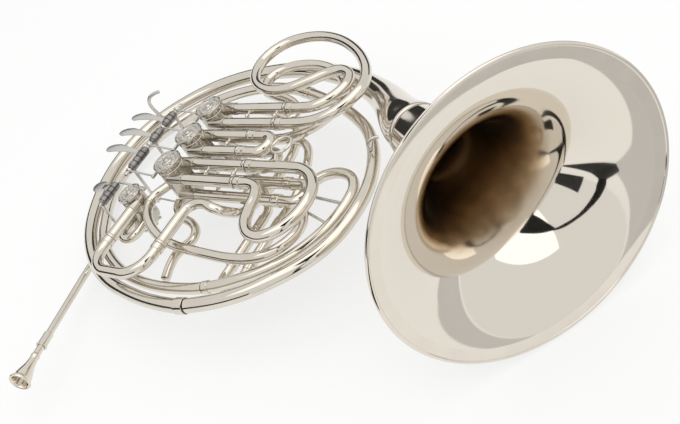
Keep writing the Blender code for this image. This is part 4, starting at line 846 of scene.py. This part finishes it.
# Pull ring
# A wire ring soldered to the first slide, for a fingertip.
RING_CENTRE = Vector((158.6, -9.5, -8.5))
RING_RADIUS = 12.2
RING_WIRE = 2.0
bpy.ops.mesh.primitive_torus_add(
    major_radius=RING_RADIUS, minor_radius=RING_WIRE, major_segments=64, minor_segments=16,
    location=RING_CENTRE,
)
bpy.ops.object.transform_apply(location=True)
bpy.ops.object.shade_smooth()
ring = bpy.context.object
leg_place = Vector((RING_CENTRE.x, LEG_OFFSET - ROTOR_SPACING, F_LEVEL))
ring_edge = RING_CENTRE - Vector((0, RING_RADIUS, 0))
post_foot = leg_place + (ring_edge - leg_place).normalized() * (CROOK_RADIUS + 0.1)
ring = joined("pull_ring", [ring, rounded_rod(post_foot, ring_edge, 1.9)])
settle(ring, tube_finish, "polished_tube", "first_f_slide_body", "first_slide_pull_ring")

# Main tuning slide
# The broad U at the bottom of the horn, bent on a mandrel, in two fixed legs of its own.
MAIN_SLIDE_FAR_X = 58.0
MAIN_SLIDE_SLEEVE_END = -152.0
MAIN_SLIDE_BOTTOM = -196.0
MAIN_SLIDE_BEND = 31.0


def bent_route(corners, radius):
    """Straight runs joined by round bends."""
    knots = [Vector(p) for p in corners]
    route = [knots[0]]
    for a, b, c in zip(knots, knots[1:], knots[2:]):
        arriving, leaving = (b - a).normalized(), (c - b).normalized()
        turn = arriving.angle(leaving)
        start = b - arriving * (radius * math.tan(turn / 2))
        side = (leaving - arriving * arriving.dot(leaving)).normalized()
        count = round(math.degrees(turn) / 3)
        for i in range(count + 1):
            swept = turn * i / count
            along = arriving * (radius * math.sin(swept))
            route.append(start + along + side * (radius * (1 - math.cos(swept))))
    return [*route, knots[-1]]


for word, x, top in (("left", MAIN_SLIDE_LEG_X, -108.8), ("right", MAIN_SLIDE_FAR_X, -108.3)):
    base = (x, top, MAIN_SLIDE_LEVEL)
    leg = sleeve(0, top - MAIN_SLIDE_SLEEVE_END, base, (0, -1, 0))
    leg.name = f"main_slide_{word}_leg"
    settle(leg, tube_finish, "polished_tube", "horn", f"main_slide_{word}_sleeve")
legs_top = MAIN_SLIDE_SLEEVE_END + 40
corners = [
    (MAIN_SLIDE_LEG_X, legs_top, MAIN_SLIDE_LEVEL),
    (MAIN_SLIDE_LEG_X, MAIN_SLIDE_BOTTOM, MAIN_SLIDE_LEVEL),
    (MAIN_SLIDE_FAR_X, MAIN_SLIDE_BOTTOM, MAIN_SLIDE_LEVEL),
    (MAIN_SLIDE_FAR_X, legs_top, MAIN_SLIDE_LEVEL),
]
bow = crook("main_tuning_bow", bent_route(corners, MAIN_SLIDE_BEND), 40 + 2 * GAP, CROOK_RADIUS)
settle(bow, tube_finish, "polished_tube", "main_tuning_slide_body", "main_tuning_slide")

# Change valve's bow
# A short fixed U under the change valve.


def bow_route(start_x, end_x, top_y, bow_y, level):
    """A U that opens towards +Y."""
    middle, half = (start_x + end_x) / 2, (end_x - start_x) / 2
    route = [Vector((start_x, top_y, level))]
    for i in range(31):
        angle = math.radians(180 + 6 * i)
        x = middle + half * math.cos(angle)
        route.append(Vector((x, bow_y + half * math.sin(angle), level)))
    return [*route, Vector((end_x, top_y, level))]


route = bow_route(*CHANGE_BOW_X, CHANGE_KNUCKLE_END - GAP, -122, CHANGE_BOW_LEVEL)
bow = tube("change_valve_u", route, 6.0)
settle(bow, tube_finish, "polished_tube", "horn", "change_valve_bow")

# Leadpipe and receiver
# The leadpipe widens from the receiver and runs under the coil to the main slide. The
# receiver is turned, with a heavy ring at its mouth for the mouthpiece's tapered shank.
MOUTHPIECE_RIM = Vector((-44.0, -339.0, -50.0))
LEADPIPE_BEND_START = Vector((-110.0, -155.0, -71.5))
MOUTHPIECE_LENGTH = 70.0
MOUTHPIECE_INSERTION = 18.0
RECEIVER_LENGTH = 24.0
LEADPIPE_POINTS = [
    (-117.5, -138, -72.5), (-134, -113, -74), (-156, -83, -76), (-173, -48, -74.1),
    (-182, -5, -70.4), (-179, 42, -71), (-163, 82, -75.7), (-136, 112, -77.1), (-102, 128, -76.4),
    (-62, 127, -76.9), (-22, 121, -77.3), (20, 112, -77.5), (56, 98, -78), (82, 75, -78.5),
    (94, 45, -79), (96, 10, -79), (96, -25, -77), (98, -52, -69), (103, -71, -57),
    (107, -83, -43), (104, -91, -31), (95, -92, -25), (82, -89, -24), (69, -90, -24),
    (60, -97, -24), (58, -107.4, -24),
]
pipe_direction = (MOUTHPIECE_RIM - LEADPIPE_BEND_START).normalized()
receiver_mouth = MOUTHPIECE_RIM - pipe_direction * (MOUTHPIECE_LENGTH - MOUTHPIECE_INSERTION)
start = receiver_mouth - pipe_direction * (RECEIVER_LENGTH - 4)
run = [start - pipe_direction * step for step in (0, 40, 80)]
route = smooth_route([*run, LEADPIPE_BEND_START, *LEADPIPE_POINTS])
pipe_length = distances(route)[-1]
pipe = tube("leadpipe_drawn", route, lambda s: 4.4 + 1.7 * s / pipe_length)
settle(pipe, tube_finish, "polished_tube", "horn", "leadpipe")
back = 4 + GAP - RECEIVER_LENGTH
outline = [
    (0, 4.6), (0, 6.0), (-0.4, 6.4), (-2.0, 6.4), (-2.5, 6.0), (-2.8, 5.7), (-6, 5.65),
    (back + 0.5, 5.5), (back, 5.1), (back, 3.0), (-MOUTHPIECE_INSERTION - 1, 3.85),
]
receiver = turned("receiver_turned", outline, receiver_mouth, pipe_direction, 48)
settle(receiver, tube_finish, "polished_tube", "horn", "mouthpiece_receiver")

# Mouthpiece
# Turned from one bar and plated: a narrow rim, a deep cup, a beaded waist and a tapered shank.
outline = [
    (-MOUTHPIECE_LENGTH, 3.4), (-MOUTHPIECE_LENGTH + 0.3, 3.55),
    (-MOUTHPIECE_LENGTH + MOUTHPIECE_INSERTION, 4.3), (-43, 4.45), (-40.2, 4.5), (-39.6, 5.0),
    (-38.8, 5.25), (-37.6, 5.3), (-36.4, 5.25), (-35.6, 4.95), (-35, 4.7), (-30, 5.2),
    (-24, 6.2), (-19, 7.5), (-14, 9.0), (-9, 10.2), (-5.5, 10.95), (-4.2, 11.3), (-3.4, 12.2),
    (-2.6, 12.75), (-1.6, 12.9), (-0.8, 12.75), (-0.2, 12.3), (0, 11.6), (-0.1, 10.9),
    (-0.5, 10.3), (-1.3, 9.7), (-2.4, 9.2), (-5, 8.7), (-9, 7.8), (-14, 6.3), (-19, 4.7),
    (-24, 3.2), (-28, 2.5), (-32, 2.2), (-44, 2.3), (-MOUTHPIECE_LENGTH, 2.7),
]
mouthpiece = turned("mouthpiece_turned", outline, MOUTHPIECE_RIM, pipe_direction, 72)
settle(mouthpiece, bell_finish, "polished_bell", "mouthpiece_body", "mouthpiece")

# F tuning slide and the tubes behind the valves
# The low side's own tuning slide lies behind the coil, fed by two crooked tubes.
TUNING_LEVEL = -76.0
TUNING_X = (121.0, 147.0)
TUNING_START = -62.0
TUNING_END = -128.0
TUNING_INNER = 5.25
parts = []
for x in TUNING_X:
    base = (x, TUNING_START, TUNING_LEVEL)
    parts.append(sleeve(0, TUNING_START - TUNING_END, base, (0, -1, 0), 6.2, TUNING_INNER + 0.2))
stay_y = TUNING_START - 0.4 * (TUNING_START - TUNING_END)
stay_ends = [(TUNING_X[0] + 5.7, stay_y, TUNING_LEVEL), (TUNING_X[1] - 5.7, stay_y, TUNING_LEVEL)]
parts.append(ball_stay(*stay_ends))
legs = joined("f_tuning_outer_legs", parts)
settle(legs, tube_finish, "polished_tube", "horn", "f_tuning_slide_sleeves")
route = bow_route(*TUNING_X, TUNING_END + 45, -150, TUNING_LEVEL)
bow = crook("f_tuning_bow", route, 45.3, 6.0, TUNING_INNER, 6.9)
settle(bow, tube_finish, "polished_tube", "f_tuning_slide_body", "f_tuning_slide")
BACK_TUBES = {
    # tube: (radius, collars, points)
    "third_valve_tube": (5.4, [], [
        (17.5, 46.7, -31.5), (30, 46.7, -31.5), (40, 46.7, -35), (47, 46.7, -45),
        (54, 46.7, -56), (68, 49.7, -63), (90, 53, -65), (111, 52, -66), (128, 42, -66.5),
        (139, 24, -68), (146, -2, -71), (149, -28, -74.5), (148, -48, -76), (147, -61.7, -76),
    ]),
    "second_valve_tube": (5.4, [], [
        (17.5, 0, -31.5), (30, 0, -31.5), (40, 0, -35), (47, 0, -45), (54, -1, -56),
        (68, -5, -62.5), (90, -16, -63), (108, -31, -67), (118, -45, -74), (121, -54, -76),
        (121, -61.5, -76),
    ]),
    "coil_return_tube": (5.6, [(98, 105, 6.5)], [
        (-4, -65.8, -53), (0, -76, -54), (20, -88.5, -55.5), (38, -94, -56), (53, -103, -56),
        (59, -116, -56), (54, -129, -56), (50, -142, -56), (51.5, -157, -57),
        (55.5, -172.5, -59),
    ]),
}
for name, (radius, collars, points) in BACK_TUBES.items():
    made = tube(f"{name}_drawn", smooth_route(points, 2.5), radius, collars)
    settle(made, tube_finish, "polished_tube", "horn", name)

# Finger levers
# Leaf-shaped touches of satin nickel, each on an arm from a barrel that turns on the hinge
# rod. A crank under the barrel works the link to the rotor.
LEVER_AXIS = Vector((-61.0, 0.0, -5.0))
LEVERS = {
    # lever: (touch's Y at its root, barrel's Y range)
    "first": (-33.0, (-58.5, -24.0)),
    "second": (-4.0, (-12.5, 9.0)),
    "third": (24.0, (16.0, 39.0)),
}
LINK_SPREAD = PIN_RADIUS_FROM_AXIS * math.sin(math.radians(45))
LINK_Y_OFFSET = (PIN_RADIUS_FROM_AXIS + LINK_SPREAD) / 2
LINK_SIDE_STEP = 4.1
ROD_RADIUS = 1.8
BARREL_RADIUS = 4.7
DRUM_RADIUS = 5.9
DRUM_LENGTH = 7.5
TOUCH_LOW = [(-66, -3.2), (-78, -3.6), (-92, -5.0), (-106, -6.6), (-117, -7.6), (-123, -4.8)]
TOUCH_HIGH = [(-66, 3.2), (-78, 3.4), (-90, 5.4), (-101, 6.9), (-112, 5.4), (-120, 1.6), (-123.4, -2.6)]


def value_at(points, x):
    """The Y of an outline at an X, by straight steps between its points."""
    for (x0, y0), (x1, y1) in zip(points, points[1:]):
        if x1 <= x <= x0:
            return y0 + (y1 - y0) * (x0 - x) / (x0 - x1)
    return points[-1][1]


def barrel(y_range):
    """A barrel whose spring drums stand a little proud, one after another."""
    low, high = y_range
    outline = [(low, ROD_RADIUS + 0.05), (low, BARREL_RADIUS - 0.5), (low + 0.5, BARREL_RADIUS)]
    drums = round((high - low - 3) / DRUM_LENGTH)
    pitch = (high - low - 3) / drums
    for i in range(drums):
        start = low + 1.5 + i * pitch
        end = start + pitch
        outline += [(start + 0.4, BARREL_RADIUS), (start + 0.6, DRUM_RADIUS - 0.4)]
        outline += [(start + 1.0, DRUM_RADIUS), (end - 1.0, DRUM_RADIUS)]
        outline += [(end - 0.6, DRUM_RADIUS - 0.4), (end - 0.4, BARREL_RADIUS)]
    outline += [(high - 0.5, BARREL_RADIUS), (high, BARREL_RADIUS - 0.5), (high, ROD_RADIUS + 0.05)]
    return outline


def touch(root_y):
    """The dished leaf that the finger presses."""
    rows, across = 30, 8
    points, faces = [], []
    for i in range(rows + 1):
        x = -64.0 - 59.0 * i / rows
        low, high = value_at(TOUCH_LOW, x), value_at(TOUCH_HIGH, x)
        rise = LEVER_AXIS.z + 2.2 + 7.0 * math.sin(min(max(-66 - x, 0) / 56, 1.0) * math.pi * 0.62)
        for j in range(across + 1):
            y = low + (high - low) * j / across
            points.append((x, root_y + y, rise + 0.9 - 0.022 * y * y))
    for i in range(rows):
        for j in range(across):
            a = i * (across + 1) + j
            faces.append((a, a + 1, a + across + 2, a + across + 1))
    mesh = bpy.data.meshes.new("touch")
    mesh.from_pydata(points, [], faces)
    made = bpy.data.objects.new("touch", mesh)
    bpy.context.collection.objects.link(made)
    only(made)
    made_good()
    plate = made.modifiers.new("plate", "SOLIDIFY")
    plate.thickness = 1.7
    plate.offset = 0.0
    bpy.ops.object.modifier_apply(modifier=plate.name)
    soft = made.modifiers.new("soft", "SUBSURF")
    soft.levels = 1
    soft.render_levels = 1
    bpy.ops.object.modifier_apply(modifier=soft.name)
    made_good()
    bpy.ops.object.shade_smooth()
    return made


def crank_foot(axis, length):
    """Where a crank's pin is at rest, half of the stroke short of upright."""
    return axis + Vector((-LINK_SPREAD, 0, -math.sqrt(length**2 - LINK_SPREAD**2)))


def crank(axis, length, y):
    """The flat arm down from a barrel, and its pin."""
    foot = crank_foot(axis, length)
    start = Vector((axis.x, y, axis.z))
    end = Vector((foot.x, y, foot.z))
    lean = (end - start).normalized()
    arm = bar_between(start + lean * 3.4, end + lean * 3.0, 2.6, 4.4)
    pin = rounded_rod((foot.x, y + 1.0, foot.z), (foot.x, y + 6.0, foot.z), LINK_PIN_RADIUS)
    return [arm, pin, foot]


barrel_finish = polished("barrel_nickel", (0.34, 0.32, 0.30), (0.20, 0.19, 0.18), 0.20, 0.20)
link_places = {}
for i, word in enumerate(WORDS):
    root_y, y_range = LEVERS[word]
    row_y = (i - 1) * ROTOR_SPACING
    link_y = row_y - LINK_Y_OFFSET
    arm, pin, foot = crank(LEVER_AXIS, LEVER_AXIS.z - LINK_LEVEL, link_y)
    crank_pin = Vector((foot.x, link_y + LINK_SIDE_STEP, foot.z))
    link_places[word] = (crank_pin, Vector((-LINK_SPREAD, link_y, LINK_LEVEL - 1.0)))
    neck = bar_between((-70.0, root_y, -2.4), (-59.5, root_y, -2.4), 6.2, 2.8)
    lever = joined(f"{word}_lever_touch", [neck, touch(root_y), arm, pin])
    settle(lever, satin_finish, "satin_metal", f"{word}_lever_body", f"{word}_lever")
    drum = turned(f"{word}_lever_barrel", barrel(y_range), LEVER_AXIS, (0, 1, 0), 40)
    settle(drum, barrel_finish, "satin_metal", f"{word}_lever_body")

# Thumb lever
# A rounded paddle on its own barrel behind the finger levers. Its crank works the change valve.
THUMB_AXIS = Vector((-95.0, 0.0, -22.0))
THUMB_BARREL_Y = (-103.0, -70.0)
THUMB_LINK_Y = CHANGE_VALVE.y - LINK_Y_OFFSET
THUMB_CRANK = THUMB_AXIS.z - LINK_LEVEL
bpy.ops.mesh.primitive_uv_sphere_add(segments=40, ring_count=20, radius=1.0)
paddle = bpy.context.object
paddle.data.transform(
    Matrix.Translation((-121, -78, -20.7)) @ Matrix.Diagonal((12.9, 9.4, 1.1, 1.0))
)
bpy.ops.object.shade_smooth()
arm, pin, foot = crank(THUMB_AXIS, THUMB_CRANK, THUMB_LINK_Y - LINK_SIDE_STEP)
link_places["thumb"] = (
    Vector((foot.x, THUMB_LINK_Y, foot.z)),
    Vector((CHANGE_VALVE.x - LINK_SPREAD, THUMB_LINK_Y, LINK_LEVEL - 1.0)),
)
neck = bar_between((-114, -78, -20.4), (-96, -78, -20.4), 7.6, 2.0)
lever = joined("thumb_lever_paddle", [paddle, neck, arm, pin])
settle(lever, satin_finish, "satin_metal", "thumb_lever_body", "thumb_lever")
drum = turned("thumb_lever_barrel", barrel(THUMB_BARREL_Y), THUMB_AXIS, (0, 1, 0), 40)
settle(drum, barrel_finish, "satin_metal", "thumb_lever_body")

# Links
# A rod from each crank's pin to the stop arm's pin, with an eye at both ends.
OPEN_EYE_RADIUS = 3.6
for word, (crank_pin, arm_pin) in link_places.items():
    rod_start = crank_pin + Vector((2.9, 0, 0))
    rod_end = arm_pin - Vector((OPEN_EYE_RADIUS + 0.9, 0, 0))
    parts = [
        eye(crank_pin, (0, 1, 0), 1.6, 3.4, LINK_PIN_RADIUS + 0.15),
        eye(arm_pin, (0, 0, 1), 1.3, OPEN_EYE_RADIUS + 2.0, OPEN_EYE_RADIUS),
        rounded_rod(rod_start, rod_end, 1.25),
    ]
    link = joined(f"{word}_link_rod", parts)
    settle(link, satin_finish, "satin_metal", f"{word}_link_body", f"{word}_link")

# Hinge rod and its rack
# One turned rod carries all three finger levers. Four arms hold it, from a rail that is
# soldered along the casings.
outline = [
    (-70, 0), (-70, 1.9), (-69.5, 2.4), (-67, 2.4), (-66.5, 1.9), (-66.4, ROD_RADIUS),
    (50, ROD_RADIUS), (50.1, 2.2), (50.6, 2.6), (52.4, 2.75), (54.2, 2.6), (55.4, 2.0),
    (56, 1.0), (56, 0),
]
rod = turned("hinge_rod_turned", outline, LEVER_AXIS, (0, 1, 0), 32)
settle(rod, satin_finish, "satin_metal", "horn", "lever_hinge_rod")
POSTS_Y = (-62.3, -18.3, 12.5, 44.5)
RAIL_X = -CASING_RADIUS - GAP - 2.2
RAIL_Z = -12.0
parts = [rounded_rod((RAIL_X, POSTS_Y[0] - 3, RAIL_Z), (RAIL_X, POSTS_Y[-1] + 3, RAIL_Z), 2.2)]
for y in POSTS_Y:
    hinge_place = Vector((LEVER_AXIS.x, y, LEVER_AXIS.z))
    parts.append(eye(hinge_place, (0, 1, 0), 1.4, 4.4, ROD_RADIUS + 0.1))
    parts.append(rounded_rod((LEVER_AXIS.x + 3.2, y, LEVER_AXIS.z), (RAIL_X, y, RAIL_Z), 1.3))
rack = joined("lever_rack_soldered", parts)
settle(rack, satin_finish, "satin_metal", "horn", "lever_rack")

# Thumb bracket
# The pin that the thumb lever turns on, held by an arm from the change valve.
BRACKET_FOOT = CHANGE_VALVE + Vector((-5.0, 14.5, -30.0))
y = THUMB_BARREL_Y[1] + 2.8
elbow = Vector((BRACKET_FOOT.x, y, BRACKET_FOOT.z))
pin_start = THUMB_AXIS + Vector((0, THUMB_BARREL_Y[0] - 4, 0))
pin_end = THUMB_AXIS + Vector((0, THUMB_BARREL_Y[1] + 5, 0))
parts = [
    rounded_rod(pin_start, pin_end, ROD_RADIUS),
    rounded_rod((THUMB_AXIS.x, y, THUMB_AXIS.z), elbow, 1.5),
    rounded_rod(elbow + Vector((0, 1, 0)), BRACKET_FOOT, 1.5),
]
bracket = joined("thumb_bracket_soldered", parts)
settle(bracket, satin_finish, "satin_metal", "horn", "thumb_lever_bracket")

# Hook and stays
# The little finger's hook and the stays that brace the bell and the leadpipe, bent from rod.
HOOK_POINTS = [
    (-144, 72, -54.5), (-148, 71.5, -40), (-149.5, 70, -24), (-148, 70, -14), (-143, 73, -7),
    (-134, 77, -4), (-126, 81, -4),
]
BELL_BRACE_POINTS = [
    (236, 29.5, -54.4), (236, 30.5, -47), (239, 33, -43), (243, 35.5, -42), (248.2, 38.8, -43.6),
]
LEADPIPE_BRACE = (Vector((-94.6, -179.8, -65.4)), Vector((-89.4, -169.3, -60.1)))
hook_route = smooth_route(HOOK_POINTS, 1.5)
hook_length = distances(hook_route)[-1]


def hook_size(s):
    """The rod's radius, rounded off at its free end."""
    left = hook_length - s
    return 2.4 if left > 2.4 else math.sqrt(max(2.4**2 - (2.4 - left) ** 2, 0.04))


hook = tube("pinky_hook_bent", hook_route, hook_size, collars=[(0.3, 1.6, 3.4)])
settle(hook, satin_finish, "satin_metal", "horn", "pinky_hook")
brace = tube("bell_brace_bent", smooth_route(BELL_BRACE_POINTS, 1.0), 1.9, collars=[(0.3, 1.3, 3.2)])
settle(brace, satin_finish, "satin_metal", "horn", "bell_brace")
span = LEADPIPE_BRACE[1] - LEADPIPE_BRACE[0]
length = span.length
outline = [(0, 0), (0, 3.2), (0.08 * length, 2.9), (0.24 * length, 1.8), (0.4 * length, 1.45)]
outline += [(0.6 * length, 1.45), (0.76 * length, 1.8), (0.92 * length, 2.9)]
outline += [(length, 3.2), (length, 0)]
stay = turned("leadpipe_stay_turned", outline, LEADPIPE_BRACE[0], span, 32)
settle(stay, tube_finish, "polished_tube", "horn", "leadpipe_brace")
STRUTS = (
    # strut: (start, end, radius), each between two tubes of the coil
    ((178, -35.5, -61), (234, -43.5, -61), 2.0),
    ((196.5, -60, -60.8), (230.5, -72, -61), 1.7),
)
pair = joined("coil_struts", [rounded_rod(*strut) for strut in STRUTS])
settle(pair, satin_finish, "satin_metal", "horn")

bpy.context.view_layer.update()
